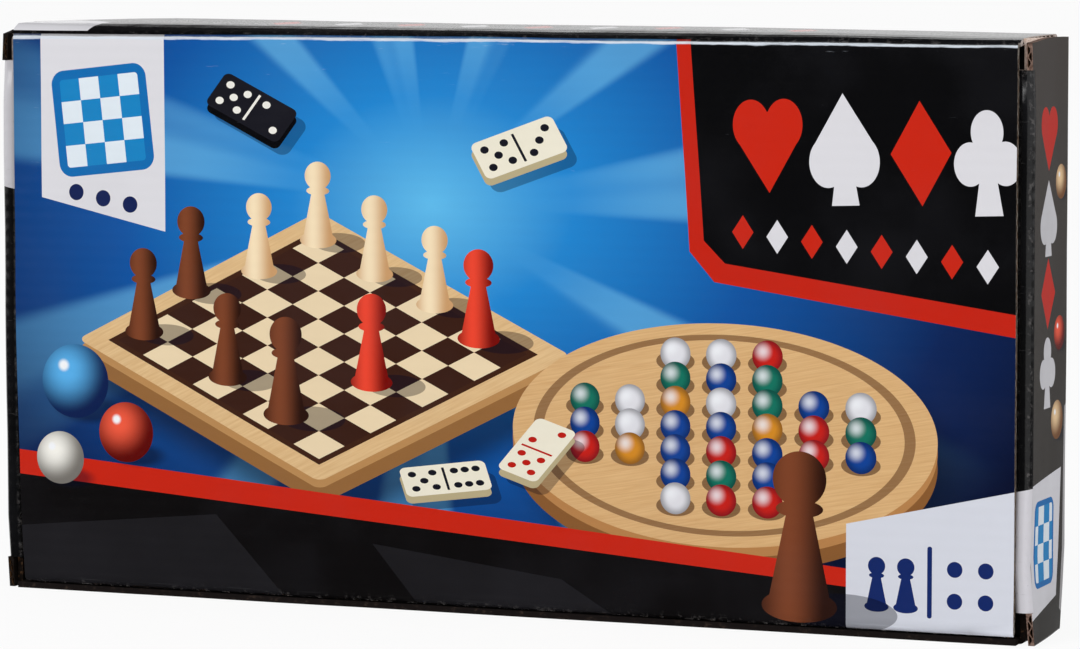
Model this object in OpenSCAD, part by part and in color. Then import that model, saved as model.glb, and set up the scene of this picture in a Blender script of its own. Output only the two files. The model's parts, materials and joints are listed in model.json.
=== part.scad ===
// Games compendium box: a roll-end mailer carton of fluted board, closed and standing on its long edge, with
// the folding wooden case, the chessmen, the draughts and the dice that it holds.
// Millimetres. +X runs along the carton, -Y is the printed lid, +Z is up, the origin is under the middle.

/* [Wooden case] */
// Length of the folded case
case_l = 290; // [275:1:320]
// Width of the folded case, which is half of the open board
case_w = 145; // [132:1:170]
// Height of one half of the case, with its board
half_h = 15.3; // [15:0.1:20]
// Thickness of the pine rails
rail_t = 10; // [8:0.5:12]
// Thickness of the plywood boards
ply_t = 3; // [2:0.25:3]
// Radius of the case's corners
case_corner_r = 3; // [1:0.5:5]

/* [Carton] */
// Thickness of the fluted board
card_t = 1.6; // [1.4:0.1:2]
// Thickness of each paper liner of the board
liner_t = 0.25; // [0.2:0.05:0.35]
// Distance from flute to flute
flute_pitch = 3.5; // [3:0.1:4.5]
// Thickness of the fluted paper between the liners
medium_t = 0.3; // [0.2:0.05:0.4]
// Outer radius of the folds of the panels
fold_r = 2; // [2:0.1:3]
// Outer radius of the folds of the dust flaps
dust_fold_r = 1.8; // [1.7:0.1:2.5]
// Distance from the end of the carton to the lid's raw edge
lid_inset = 4; // [3:0.25:4.5]
// Gap between the case and each inner end wall
end_gap = 0.95; // [0.3:0.05:3]
// Gap between the case and the base panel
back_gap = 0.3; // [0.2:0.05:1]
// Gap between the case and the lid
front_gap = 1.4; // [0.5:0.1:4]
// Gap between the case and the top wall
head_gap = 4; // [3.5:0.1:12]
// Gap between the case's hinges and the tuck flap
stand_gap = 0.3; // [0.2:0.05:1]
// How far the bottom wall's raw edge lies behind the lid's face
bottom_setback = 0.25; // [0:0.05:1]
// Length of the notch at the upper end of each roll strip
top_notch = 7.5; // [5:0.5:12]
// Length of the notch at the lower end of each roll strip
bottom_notch = 8.5; // [5:0.5:12]
// Length of the dust flaps
dust_l = 58; // [30:1:70]
// Gap between an inner wall and the top and bottom walls
inner_gap = 0.5; // [0.3:0.1:2]
// Gap between the edges of the dust flaps and the folds beside them
flap_gap = 0.05; // [0.05:0.05:1]

/* [Tuck flap] */
// Length of the flap behind the bottom wall
tuck_l = 20; // [16:0.5:21]
// Angle that the flap rises at towards its tip
tuck_lift = 5.5; // [5:0.25:8]
// Gap between the flap's fold and the bottom wall
tuck_gap = 0.4; // [0.3:0.05:1]
// Gap between the flap's ends and the inner end walls
tuck_side_gap = 1; // [0.5:0.25:4]
// Radius of the flap's free corners
tuck_corner_r = 8; // [3:0.5:14]

/* [Lock tabs] */
// Width of a lock tab
tab_w = 24; // [12:1:34]
// Distance between the two tabs of one end
tab_spacing = 84; // [60:1:100]
// Clearance of a tab in its slot
tab_clear = 0.2; // [0.1:0.05:0.5]

/* [Hinges of the case] */
// Length of a hinge
hinge_l = 24; // [18:0.5:36]
// Width of a hinge leaf
leaf_w = 8; // [7:0.5:9]
// Thickness of a hinge leaf
leaf_t = 0.7; // [0.5:0.05:1]
// Outer radius of the knuckles
knuckle_r = 1.6; // [1.4:0.1:2.2]
// Radius of the hinge pin
hinge_pin_r = 0.8; // [0.5:0.05:1]
// Running clearance of the pin, and of the leaves and knuckles against each other
hinge_clear = 0.05; // [0.03:0.01:0.1]
// Distance from the end of the case to the middle of a hinge
hinge_inset = 55; // [30:1:100]
// Radius of a hinge screw's shank
screw_r = 0.9; // [0.7:0.05:1.1]
// Radius of a hinge screw's head
screw_head_r = 1.5; // [1.4:0.05:1.5]
// Length of a hinge screw
screw_l = 7; // [5:0.5:10]
// Clearance of a screw in its hole
screw_clear = 0.05; // [0.03:0.01:0.1]

/* [Hook catch of the case] */
// Distance from the hook's pivot to its stud
hook_reach = 14; // [12:0.5:16]
// Thickness of the hook
hook_t = 0.8; // [0.6:0.1:1]
// Width of the hook's bar
hook_bar_w = 2.6; // [2:0.1:4]
// Radius of the hook's eye and of its head
hook_head_r = 3; // [2.6:0.1:3.5]
// Radius of the pivot screw and of the stud
stud_r = 1.2; // [0.9:0.05:1.4]
// Radius of their heads
stud_head_r = 2.2; // [1.9:0.1:2.6]
// Height of their heads
stud_head_h = 0.9; // [0.6:0.1:1.2]
// Depth that they reach into the rails
stud_l = 8; // [5:0.5:9]
// Clearance around the hook
hook_clear = 0.15; // [0.08:0.01:0.2]

/* [Chessmen] */
// Height of the king
king_h = 50; // [40:0.5:53]
// Height of the queen
queen_h = 46; // [36:0.5:49]
// Height of a bishop
bishop_h = 40; // [32:0.5:43]
// Height of a knight
knight_h = 36; // [30:0.5:39]
// Height of a rook
rook_h = 32; // [26:0.5:35]
// Height of a pawn
pawn_h = 27; // [22:0.5:29]
// Diameter of the king's foot
king_d = 18; // [15:0.5:20]
// Diameter of the queen's foot
queen_d = 17.5; // [15:0.5:20]
// Diameter of a bishop's foot
bishop_d = 17; // [14:0.5:19]
// Diameter of a knight's foot
knight_d = 17; // [14:0.5:19]
// Diameter of a rook's foot
rook_d = 17; // [14:0.5:19]
// Diameter of a pawn's foot
pawn_d = 15; // [12:0.5:17]
// Thickness of the knight's sawn head
knight_head_t = 8; // [6:0.5:10]
// Width of the sawn cut in a bishop's head
mitre_cut_w = 0.8; // [0.5:0.1:1.2]

/* [Draughts and dice] */
// Diameter of a draught
draught_d = 21; // [18:0.5:22]
// Thickness of a draught
draught_t = 7; // [5:0.1:7.5]
// Width of the turned rings in a draught's faces
ring_w = 0.7; // [0.4:0.1:1]
// Depth of the turned rings
ring_depth = 0.4; // [0.2:0.1:0.6]
// Edge of a die
die_s = 13; // [10:0.5:14]
// Radius of a pip
pip_r = 1.1; // [0.8:0.1:1.4]
// Depth of a pip
pip_depth = 0.4; // [0.2:0.1:0.6]
// Gap between neighbouring pieces as they are packed in the case
stow_gap = 0.3; // [0.2:0.1:0.8]
// Gap between the draughts of one stack
stack_gap = 0.05; // [0.02:0.01:0.2]

/* [Hidden] */
$fn = 64;

// Outer size of the carton, which is built round the case
carton_l = case_l + 2 * end_gap + 6 * card_t;
carton_d = 2 * half_h + back_gap + front_gap + 2 * card_t;
tuck_rise = tuck_gap + tuck_l * sin(tuck_lift) + card_t * cos(tuck_lift);
case_z0 = card_t + tuck_rise + stand_gap + knuckle_r;
case_z1 = case_z0 + case_w;
carton_h = case_z1 + head_gap + card_t;

// Planes of the carton
x_out = carton_l / 2;
x_dust = x_out - card_t;
x_inner = x_out - 2 * card_t;
x_room = x_out - 3 * card_t;
x_wall_end = x_dust - dust_fold_r;
lid_half_l = x_out - lid_inset;
y_lid = -carton_d / 2;
y_strip = y_lid + card_t;
y_back = carton_d / 2;
y_base = y_back - card_t;
y_lid_fold = y_lid + fold_r;
y_back_fold = y_back - fold_r;
z_top_fold = carton_h - fold_r;
z_tuck_fold = card_t + tuck_gap + fold_r;

// The mitre of each crease, halfway round the fold
top_mitre = 135;
tuck_mitre = 225 + tuck_lift / 2;

// Planes and rooms of the case
y_mid = y_base - back_gap - half_h;
rail_h = half_h - ply_t;
y_front_room = y_mid - rail_h;
y_back_room = y_mid + rail_h;
room_x0 = -case_l / 2 + rail_t;
room_z0 = case_z0 + rail_t;
hinge_xs = [-case_l / 2 + hinge_inset, case_l / 2 - hinge_inset];
screw_dxs = [-hinge_l / 3, hinge_l / 3];
y_pivot = y_mid - hook_reach / 2;
y_stud = y_mid + hook_reach / 2;
hook_z0 = case_z1 + hook_clear;

// Colours
print_black = [0.1, 0.1, 0.11];
kraft = [0.62, 0.48, 0.34];
pine = [0.86, 0.7, 0.48];
brass = [0.78, 0.62, 0.3];
light_wood = [0.9, 0.76, 0.6];
dark_wood = [0.25, 0.12, 0.08];

// Each row of chessmen in the case, from the lowest: kind and colour of each man, from the left
man_rows = [
    [["king", "light"], ["king", "dark"], ["queen", "light"], ["queen", "dark"], ["pawn", "light"]],
    [["bishop", "light"], ["bishop", "light"], ["bishop", "dark"], ["bishop", "dark"],
     ["knight", "light"], ["knight", "dark"]],
    [["rook", "light"], ["rook", "light"], ["knight", "light"], ["knight", "dark"],
     ["rook", "dark"], ["rook", "dark"], ["pawn", "dark"]],
    [["pawn", "light"], ["pawn", "light"], ["pawn", "light"], ["pawn", "light"],
     ["pawn", "dark"], ["pawn", "dark"], ["pawn", "dark"], ["pawn", "dark"]],
    [["pawn", "light"], ["pawn", "dark"], ["pawn", "light"], ["pawn", "dark"],
     ["pawn", "light"], ["pawn", "dark"]]
];
draught_n = 15;
stack_n = floor((2 * rail_h - stow_gap) / (draught_t + stack_gap));
stacks_per_colour = ceil(draught_n / stack_n);
ring_places = [0.3, 0.52, 0.74];
// The dice end the highest row
ivory_dice_places = [0, 1];
red_dice_places = [2, 3];
doubling_cube_places = [4];

function man_h(kind) =
    kind == "king" ? king_h
    : kind == "queen" ? queen_h
    : kind == "bishop" ? bishop_h
    : kind == "knight" ? knight_h
    : kind == "rook" ? rook_h
    : pawn_h;

function man_d(kind) =
    kind == "king" ? king_d
    : kind == "queen" ? queen_d
    : kind == "bishop" ? bishop_d
    : kind == "knight" ? knight_d
    : kind == "rook" ? rook_d
    : pawn_d;

// Where man i of a row starts, and where a row lies on the one below
function man_x(row, i) = i == 0 ? 0 : man_x(row, i - 1) + man_h(row[i - 1][0]) + stow_gap;
function row_d(row) = max([for (man = row) man_d(man[0])]);
function row_z(n) = n == 0
    ? room_z0 + 2 * stow_gap + draught_d
    : row_z(n - 1) + row_d(man_rows[n - 1]) + stow_gap;

// An outline laid in the plane across X, Y or Z and drawn out from one place to another
module across_x(x0, x1) {
    translate([x0, 0, 0])
        rotate([90, 0, 90])
            linear_extrude(x1 - x0)
                children();
}

module across_y(y0, y1) {
    translate([0, y1, 0])
        rotate([90, 0, 0])
            linear_extrude(y1 - y0)
                children();
}

module across_z(z0, z1) {
    translate([0, 0, z0])
        linear_extrude(z1 - z0)
            children();
}

// A rectangle between two corners
module span(u0, v0, u1, v1) {
    translate([u0, v0])
        square([u1 - u0, v1 - v0]);
}

// A folded board seen along its crease: a ring of the board's thickness from angle a0 to a1
module fold(r, a0, a1) {
    reach = 2 * r;
    mid = (a0 + a1) / 2;
    intersection() {
        difference() {
            circle(r);
            circle(r - card_t);
        }
        polygon([
            [0, 0],
            reach * [cos(a0), sin(a0)],
            reach * [cos(mid), sin(mid)],
            reach * [cos(a1), sin(a1)]
        ]);
    }
}

// The open channels between the liners and the fluted paper, on either side in turn, which fill the run from
// v0 to v1 of a board that lies from u = 0 to card_t
module flute_channels(v0, v1) {
    half_w = 0.38 * flute_pitch;
    places = [-0.28, -0.14, 0, 0.14, 0.28];
    count = 1 + floor(2 * (v1 - v0 - 2 * half_w) / flute_pitch);
    first = (v0 + v1) / 2 - (count - 1) * flute_pitch / 4;
    wave = (card_t - 2 * liner_t - medium_t) / 2;
    for (i = [0:count - 1])
        translate([card_t / 2, first + i * flute_pitch / 2])
            mirror([i % 2, 0])
                polygon(concat(
                    [[liner_t - card_t / 2, half_w], [liner_t - card_t / 2, -half_w]],
                    [for (p = places) [wave * cos(360 * p) - medium_t / 2, p * flute_pitch]]
                ));
}

// Carton

module lid_outline() {
    translate([y_lid_fold, z_top_fold])
        fold(fold_r, top_mitre, 180);
    difference() {
        span(y_lid, z_tuck_fold, y_lid + card_t, z_top_fold);
        translate([y_lid, 0])
            flute_channels(z_tuck_fold + fold_r, z_top_fold - fold_r);
    }
    translate([y_lid_fold, z_tuck_fold])
        fold(fold_r, 180, tuck_mitre);
}

module lid_panel() {
    color(print_black)
        across_x(-lid_half_l, lid_half_l)
            lid_outline();
}

module tuck_flap() {
    half = x_room - tuck_side_gap;
    y_tip = y_lid_fold + tuck_l + fold_r;
    color(print_black)
        intersection() {
            across_x(-half, half)
                translate([y_lid_fold, z_tuck_fold]) {
                    fold(fold_r, tuck_mitre, 270 + tuck_lift);
                    rotate(tuck_lift)
                        translate([0, -fold_r])
                            square([tuck_l, card_t]);
                }
            across_z(0, z_tuck_fold + tuck_rise + fold_r)
                union() {
                    span(-half, y_lid, half, y_lid_fold + tuck_l - tuck_corner_r);
                    span(-half + tuck_corner_r, y_lid, half - tuck_corner_r, y_tip);
                    for (s = [-1, 1])
                        translate([s * (half - tuck_corner_r), y_lid_fold + tuck_l - tuck_corner_r])
                            circle(tuck_corner_r);
                }
        }
}

module top_wall() {
    color(print_black)
        across_x(-x_wall_end, x_wall_end) {
            translate([y_lid_fold, z_top_fold])
                fold(fold_r, 90, top_mitre);
            difference() {
                span(y_lid_fold, carton_h - card_t, y_back_fold, carton_h);
                translate([y_back_fold, carton_h - card_t])
                    rotate(90)
                        flute_channels(0, y_back_fold - y_lid_fold);
            }
            translate([y_back_fold, z_top_fold])
                fold(fold_r, 0, 90);
        }
}

module bottom_wall() {
    color(print_black)
        across_x(-x_wall_end, x_wall_end) {
            difference() {
                span(y_lid + bottom_setback, 0, y_back_fold, card_t);
                translate([y_back_fold, 0])
                    rotate(90)
                        flute_channels(0, y_back_fold - y_lid_fold);
            }
            translate([y_back_fold, fold_r])
                fold(fold_r, 270, 360);
        }
}

module lock_tabs(clear) {
    for (s = [-1, 1])
        translate([0, carton_h / 2 + s * tab_spacing / 2])
            square([card_t + 2 * clear, tab_w + 2 * clear], center = true);
}

module base_panel() {
    half = x_out - fold_r;
    color(print_black)
        difference() {
            across_y(y_base, y_back)
                span(-half, fold_r, half, carton_h - fold_r);
            for (s = [-1, 1])
                across_y(y_base - 1, y_back + 1)
                    translate([s * (x_room + card_t / 2), 0])
                        lock_tabs(tab_clear);
        }
}

module outer_wall() {
    color(print_black) {
        difference() {
            across_x(x_dust, x_out)
                difference() {
                    span(y_strip, 0, y_back_fold, carton_h);
                    span(y_strip - 1, bottom_notch, y_strip + fold_r, carton_h - top_notch);
                }
            across_y(y_strip - 1, y_back_fold - card_t)
                translate([x_dust, 0]) {
                    flute_channels(0, bottom_notch);
                    flute_channels(bottom_notch, carton_h - top_notch);
                    flute_channels(carton_h - top_notch, carton_h);
                }
        }
        across_z(0, carton_h)
            translate([x_out - fold_r, y_back_fold])
                fold(fold_r, 0, 90);
    }
}

module roll_strip() {
    color(print_black)
        across_z(bottom_notch, carton_h - top_notch) {
            translate([x_out - fold_r, y_strip + fold_r])
                fold(fold_r, 270, 360);
            span(x_room + fold_r, y_strip, x_out - fold_r, y_strip + card_t);
            translate([x_room + fold_r, y_strip + fold_r])
                fold(fold_r, 180, 270);
        }
}

module inner_wall() {
    color(kraft) {
        across_z(bottom_notch, carton_h - top_notch)
            span(x_room, y_strip + fold_r, x_inner, y_base);
        across_z(card_t + inner_gap, carton_h - card_t - inner_gap)
            span(x_room, y_strip + fold_r + card_t, x_inner, y_base);
        across_y(y_base - card_t, y_back)
            translate([x_room + card_t / 2, 0])
                lock_tabs(0);
    }
}

// A dust flap hanging from the top wall, seen along Y
module dust_flap() {
    color(kraft)
        across_y(y_strip + fold_r + flap_gap, y_back_fold - flap_gap) {
            translate([x_wall_end, carton_h - dust_fold_r])
                fold(dust_fold_r, 0, 90);
            span(x_inner, carton_h - dust_l, x_dust, carton_h - dust_fold_r);
        }
}

module upside_down() {
    translate([0, 0, carton_h])
        mirror([0, 0, 1])
            children();
}

module on_left() {
    mirror([1, 0, 0])
        children();
}

// Wooden case

module case_outline() {
    w = case_l;
    h = case_w;
    r = case_corner_r;
    translate([0, case_z0 + h / 2]) {
        square([w - 2 * r, h], center = true);
        square([w, h - 2 * r], center = true);
        for (sx = [-1, 1])
            for (sz = [-1, 1])
                translate([sx * (w / 2 - r), sz * (h / 2 - r)])
                    circle(r);
    }
}

module long_rail(z0) {
    intersection() {
        case_outline();
        span(-case_l / 2, z0, case_l / 2, z0 + rail_t);
    }
}

module short_rail(side) {
    translate([side * (case_l - rail_t) / 2, case_z0 + case_w / 2])
        square([rail_t, case_w - 2 * rail_t], center = true);
}

// Each hinge's screws, laid on the joint plane with their points towards -Y
module at_hinges() {
    for (x = hinge_xs)
        translate([x, y_mid, case_z0])
            children();
}

module hinge_screw_row(clear) {
    head_depth = screw_head_r - screw_r;
    for (dx = screw_dxs)
        translate([dx, -hinge_clear, leaf_w / 2 + knuckle_r / 2])
            rotate([90, 0, 0]) {
                cylinder(h = head_depth, r1 = screw_head_r + clear, r2 = screw_r + clear);
                cylinder(h = screw_l + clear, r = screw_r + clear);
            }
}

// What a hinge takes out of the rail on the -Y side
module hinge_gain() {
    pocket = hinge_l + 2 * hinge_clear;
    translate([-pocket / 2, -hinge_clear - leaf_t, -knuckle_r])
        cube([pocket, hinge_clear + leaf_t + 1, knuckle_r + leaf_w]);
    rotate([0, 90, 0])
        cylinder(h = pocket, r = knuckle_r + 2 * hinge_clear, center = true);
    hinge_screw_row(screw_clear);
}

module barrel(x0, x1, r) {
    translate([x0, 0, 0])
        rotate([0, 90, 0])
            cylinder(h = x1 - x0, r = r);
}

// The leaf on the -Y side: two end knuckles, or the middle one
module hinge_leaf(ends) {
    third = hinge_l / 3;
    own = ends ? [[-hinge_l / 2, -third / 2 - hinge_clear], [third / 2 + hinge_clear, hinge_l / 2]]
               : [[-third / 2, third / 2]];
    others = ends ? [[-third / 2 - hinge_clear, third / 2 + hinge_clear]]
                  : [[-hinge_l / 2 - 1, -third / 2], [third / 2, hinge_l / 2 + 1]];
    difference() {
        union() {
            translate([-hinge_l / 2, -hinge_clear - leaf_t, 0])
                cube([hinge_l, leaf_t, leaf_w]);
            for (run = own)
                barrel(run[0], run[1], knuckle_r);
        }
        for (run = others)
            barrel(run[0], run[1], knuckle_r + hinge_clear);
        barrel(-hinge_l, hinge_l, hinge_pin_r + hinge_clear);
        hinge_screw_row(screw_clear);
    }
}

module to_back_half() {
    translate([0, 2 * y_mid, 0])
        mirror([0, 1, 0])
            children();
}

module front_case_board() {
    color(light_wood)
        across_y(y_mid - half_h, y_front_room)
            case_outline();
}

module hinge_rail() {
    color(pine)
        difference() {
            across_y(y_front_room, y_mid)
                long_rail(case_z0);
            at_hinges()
                hinge_gain();
        }
}

module catch_rail() {
    color(pine)
        difference() {
            across_y(y_front_room, y_mid)
                long_rail(case_z1 - rail_t);
            translate([0, y_pivot, case_z1 - stud_l])
                cylinder(h = stud_l + 1, r = stud_r + screw_clear);
        }
}

module end_rail(side) {
    color(pine)
        across_y(y_front_room, y_mid)
            short_rail(side);
}

module front_hinge_leaves() {
    color(brass)
        at_hinges()
            hinge_leaf(true);
}

module back_hinge_leaves() {
    color(brass)
        to_back_half()
            at_hinges()
                hinge_leaf(false);
}

module hinge_pins() {
    color(brass)
        at_hinges()
            barrel(-hinge_l / 2, hinge_l / 2, hinge_pin_r);
}

module hinge_screws() {
    color(brass) {
        at_hinges()
            hinge_screw_row(0);
        to_back_half()
            at_hinges()
                hinge_screw_row(0);
    }
}

// A pin in the rail with a domed head over the hook
module headed_pin(y) {
    head_z = hook_z0 + hook_t + hook_clear;
    dome_r = stud_head_r * 1.25;
    translate([0, y, case_z1 - stud_l + screw_clear])
        cylinder(h = stud_l - screw_clear + head_z - case_z1, r = stud_r);
    translate([0, y, head_z])
        intersection() {
            cylinder(h = stud_head_h, r = stud_head_r);
            translate([0, 0, stud_head_h - dome_r])
                sphere(dome_r);
        }
}

module catch_pivot_screw() {
    color(brass)
        headed_pin(y_pivot);
}

module catch_stud() {
    color(brass)
        headed_pin(y_stud);
}

module catch_hook() {
    mouth_r = stud_r + hook_clear;
    lug_r = hook_head_r / 2;
    color(brass)
        translate([0, y_pivot, 0])
            across_z(hook_z0, hook_z0 + hook_t)
                difference() {
                    union() {
                        circle(hook_head_r);
                        span(-hook_bar_w / 2, 0, hook_bar_w / 2, hook_reach);
                        translate([0, hook_reach])
                            circle(hook_head_r);
                        translate([lug_r - hook_head_r, hook_reach + hook_head_r - lug_r / 2])
                            circle(lug_r);
                    }
                    circle(stud_r + hook_clear / 2);
                    translate([0, hook_reach])
                        circle(mouth_r);
                    intersection() {
                        difference() {
                            circle(hook_reach + mouth_r);
                            circle(hook_reach - mouth_r);
                        }
                        span(0, 0, 2 * hook_head_r, hook_reach + 2 * hook_head_r);
                    }
                }
}

// Chessmen, turned about their own axis and standing on z = 0

// A rounded ring
module bead(r, z0, z1) {
    half = (z1 - z0) / 2;
    span(0, z0, r - half, z1);
    translate([r - half, z0 + half])
        circle(half);
}

// A straight taper
module taper(r0, r1, z0, z1) {
    polygon([[0, z0], [r0, z0], [r1, z1], [0, z1]]);
}

// A full curve that narrows from r0 to r1
module bell(r0, r1, z0, z1) {
    polygon(concat(
        [[0, z0]],
        [for (a = [0:15:90]) [r1 + (r0 - r1) * cos(a), z0 + (z1 - z0) * sin(a)]],
        [[0, z1]]
    ));
}

// A hollow curve that narrows from r0 to r1
module waist(r0, r1, z0, z1) {
    polygon(concat(
        [[0, z0]],
        [for (a = [0:15:90]) [r1 + (r0 - r1) * (1 - sin(a)), z0 + (z1 - z0) * (1 - cos(a))]],
        [[0, z1]]
    ));
}

module ball(r, z) {
    translate([0, z])
        intersection() {
            circle(r);
            span(0, -r, r, r);
        }
}

module turned() {
    rotate_extrude()
        children();
}

// The foot that every man has: two rings, up to the height given as its share
module foot(r, h, top) {
    bead(r, 0, top * h * 0.56);
    bead(0.88 * r, top * h * 0.56 - 0.01, top * h);
}

module king() {
    r = king_d / 2;
    h = king_h;
    turned() {
        foot(r, h, 0.18);
        waist(0.72 * r, 0.38 * r, 0.17 * h, 0.55 * h);
        bead(0.62 * r, 0.54 * h, 0.6 * h);
        bead(0.52 * r, 0.59 * h, 0.64 * h);
        taper(0.4 * r, 0.66 * r, 0.63 * h, 0.82 * h);
        bell(0.6 * r, 0.24 * r, 0.81 * h, 0.89 * h);
        taper(0.24 * r, 0.34 * r, 0.88 * h, 0.96 * h);
        taper(0.34 * r, 0.14 * r, 0.955 * h, h);
    }
}

module queen() {
    r = queen_d / 2;
    h = queen_h;
    turned() {
        foot(r, h, 0.18);
        waist(0.72 * r, 0.36 * r, 0.17 * h, 0.56 * h);
        bead(0.6 * r, 0.55 * h, 0.61 * h);
        bead(0.5 * r, 0.6 * h, 0.65 * h);
        taper(0.36 * r, 0.64 * r, 0.64 * h, 0.85 * h);
        bell(0.54 * r, 0.16 * r, 0.84 * h, 0.93 * h);
        ball(0.2 * r, h - 0.2 * r);
    }
}

module bishop() {
    r = bishop_d / 2;
    h = bishop_h;
    difference() {
        turned() {
            foot(r, h, 0.2);
            bead(0.74 * r, 0.19 * h, 0.27 * h);
            waist(0.6 * r, 0.38 * r, 0.26 * h, 0.5 * h);
            bead(0.6 * r, 0.49 * h, 0.55 * h);
            bead(0.64 * r, 0.54 * h, 0.61 * h);
            taper(0.5 * r, 0.66 * r, 0.6 * h, 0.68 * h);
            bell(0.66 * r, 0.2 * r, 0.68 * h, 0.9 * h);
            ball(0.28 * r, h - 0.28 * r);
        }
        translate([0.36 * r, 0, 0.84 * h])
            rotate([0, 40, 0])
                cube([1.1 * r, 2 * r, mitre_cut_w], center = true);
    }
}

module knight() {
    r = knight_d / 2;
    h = knight_h;
    turned() {
        foot(r, h, 0.24);
        bead(0.72 * r, 0.23 * h, 0.32 * h);
    }
    intersection() {
        across_y(-knight_head_t / 2, knight_head_t / 2)
            polygon([
                [-0.56 * r, 0.31 * h], [0.5 * r, 0.31 * h], [0.36 * r, 0.46 * h], [0.5 * r, 0.56 * h],
                [0.86 * r, 0.6 * h], [0.94 * r, 0.7 * h], [0.5 * r, 0.84 * h], [0.3 * r, 0.94 * h],
                [0.16 * r, h], [-0.04 * r, 0.93 * h], [-0.5 * r, 0.86 * h], [-0.74 * r, 0.62 * h]
            ]);
        cylinder(h = h, r = 0.98 * r);
    }
}

module rook() {
    r = rook_d / 2;
    h = rook_h;
    turned()
        difference() {
            union() {
                foot(r, h, 0.26);
                waist(0.76 * r, 0.46 * r, 0.25 * h, 0.62 * h);
                bead(0.68 * r, 0.61 * h, 0.7 * h);
                taper(0.58 * r, 0.74 * r, 0.69 * h, h);
            }
            span(0, 0.88 * h, 0.5 * r, h + 1);
        }
}

module pawn() {
    r = pawn_d / 2;
    h = pawn_h;
    turned() {
        bead(r, 0, 0.17 * h);
        bell(0.92 * r, 0.42 * r, 0.16 * h, 0.5 * h);
        bead(0.62 * r, 0.47 * h, 0.58 * h);
        taper(0.34 * r, 0.34 * r, 0.57 * h, 0.7 * h);
        ball(0.6 * r, h - 0.6 * r);
    }
}

// Every man of one kind and colour lies in its row, its foot to the left and its side to the back board
module stowed(kind, colour) {
    d = man_d(kind);
    color(colour == "light" ? light_wood : dark_wood)
        for (n = [0:len(man_rows) - 1])
            for (i = [0:len(man_rows[n]) - 1])
                if (man_rows[n][i] == [kind, colour])
                    translate([
                        room_x0 + stow_gap + man_x(man_rows[n], i),
                        y_back_room - stow_gap - d / 2,
                        row_z(n) + d / 2
                    ])
                        rotate([0, 90, 0])
                            children();
}

// Draughts and dice, on the lower rail

module draught() {
    r = draught_d / 2;
    turned()
        difference() {
            draught_outline(r);
            for (share = ring_places) {
                span(share * r, -1, share * r + ring_w, ring_depth);
                span(share * r, draught_t - ring_depth, share * r + ring_w, draught_t + 1);
            }
        }
}

// Half the outline of a draught, with its edges eased
module draught_outline(r) {
    ease = draught_t / 8;
    polygon([
        [0, 0], [r - ease, 0], [r, ease], [r, draught_t - ease], [r - ease, draught_t], [0, draught_t]
    ]);
}

module draught_stacks(colour, first) {
    color(colour)
        for (i = [0:draught_n - 1])
            translate([
                room_x0 + stow_gap + draught_d / 2
                    + (first + floor(i / stack_n)) * (draught_d + stow_gap),
                y_back_room - stow_gap - (i % stack_n) * (draught_t + stack_gap),
                room_z0 + stow_gap + draught_d / 2
            ])
                rotate([90, 0, 0])
                    draught();
}

// Where the pips of each number lie, in steps from the middle of the face
function pips(n) =
    n == 1 ? [[0, 0]]
    : n == 2 ? [[-1, -1], [1, 1]]
    : n == 3 ? [[-1, -1], [0, 0], [1, 1]]
    : n == 4 ? [[-1, -1], [-1, 1], [1, -1], [1, 1]]
    : n == 5 ? [[-1, -1], [-1, 1], [0, 0], [1, -1], [1, 1]]
    : [[-1, -1], [-1, 0], [-1, 1], [1, -1], [1, 0], [1, 1]];

module plain_die() {
    intersection() {
        cube(die_s, center = true);
        sphere(0.74 * die_s);
    }
}

module die() {
    turns = [[0, 0, 0], [0, 90, 0], [90, 0, 0], [-90, 0, 0], [0, -90, 0], [180, 0, 0]];
    difference() {
        plain_die();
        for (n = [1:6])
            rotate(turns[n - 1])
                for (p = pips(n))
                    translate([p[0] * die_s / 4, p[1] * die_s / 4, die_s / 2 - pip_depth])
                        cylinder(h = pip_depth + 1, r = pip_r);
    }
}

module dice(colour, places) {
    last = len(man_rows) - 1;
    first_x = room_x0 + stow_gap + man_x(man_rows[last], len(man_rows[last])) + die_s / 2;
    color(colour)
        for (n = places)
            translate([
                first_x + n * (die_s + stow_gap),
                y_back_room - stow_gap - die_s / 2,
                row_z(last) + die_s / 2
            ])
                children();
}

base_panel();
top_wall();
bottom_wall();
on_left() outer_wall();  // left_outer_wall
outer_wall();  // right_outer_wall
on_left() roll_strip();  // left_roll_strip
roll_strip();  // right_roll_strip
on_left() inner_wall();  // left_inner_wall
inner_wall();  // right_inner_wall
on_left() dust_flap();  // upper_left_dust_flap
dust_flap();  // upper_right_dust_flap
on_left() upside_down() dust_flap();  // lower_left_dust_flap
upside_down() dust_flap();  // lower_right_dust_flap
lid_panel();
tuck_flap();
front_case_board();
to_back_half() front_case_board();  // back_case_board
hinge_rail();  // front_hinge_rail
catch_rail();  // front_catch_rail
end_rail(-1);  // front_left_rail
end_rail(1);  // front_right_rail
to_back_half() hinge_rail();  // back_hinge_rail
to_back_half() catch_rail();  // back_catch_rail
to_back_half() end_rail(-1);  // back_left_rail
to_back_half() end_rail(1);  // back_right_rail
front_hinge_leaves();
back_hinge_leaves();
hinge_pins();
hinge_screws();
catch_hook();
catch_pivot_screw();
catch_stud();
stowed("king", "light") king();  // light_king
stowed("queen", "light") queen();  // light_queen
stowed("bishop", "light") bishop();  // light_bishops
stowed("knight", "light") knight();  // light_knights
stowed("rook", "light") rook();  // light_rooks
stowed("pawn", "light") pawn();  // light_pawns
stowed("king", "dark") king();  // dark_king
stowed("queen", "dark") queen();  // dark_queen
stowed("bishop", "dark") bishop();  // dark_bishops
stowed("knight", "dark") knight();  // dark_knights
stowed("rook", "dark") rook();  // dark_rooks
stowed("pawn", "dark") pawn();  // dark_pawns
draught_stacks(light_wood, 0);  // light_draughts
draught_stacks(dark_wood, stacks_per_colour);  // dark_draughts
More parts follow.
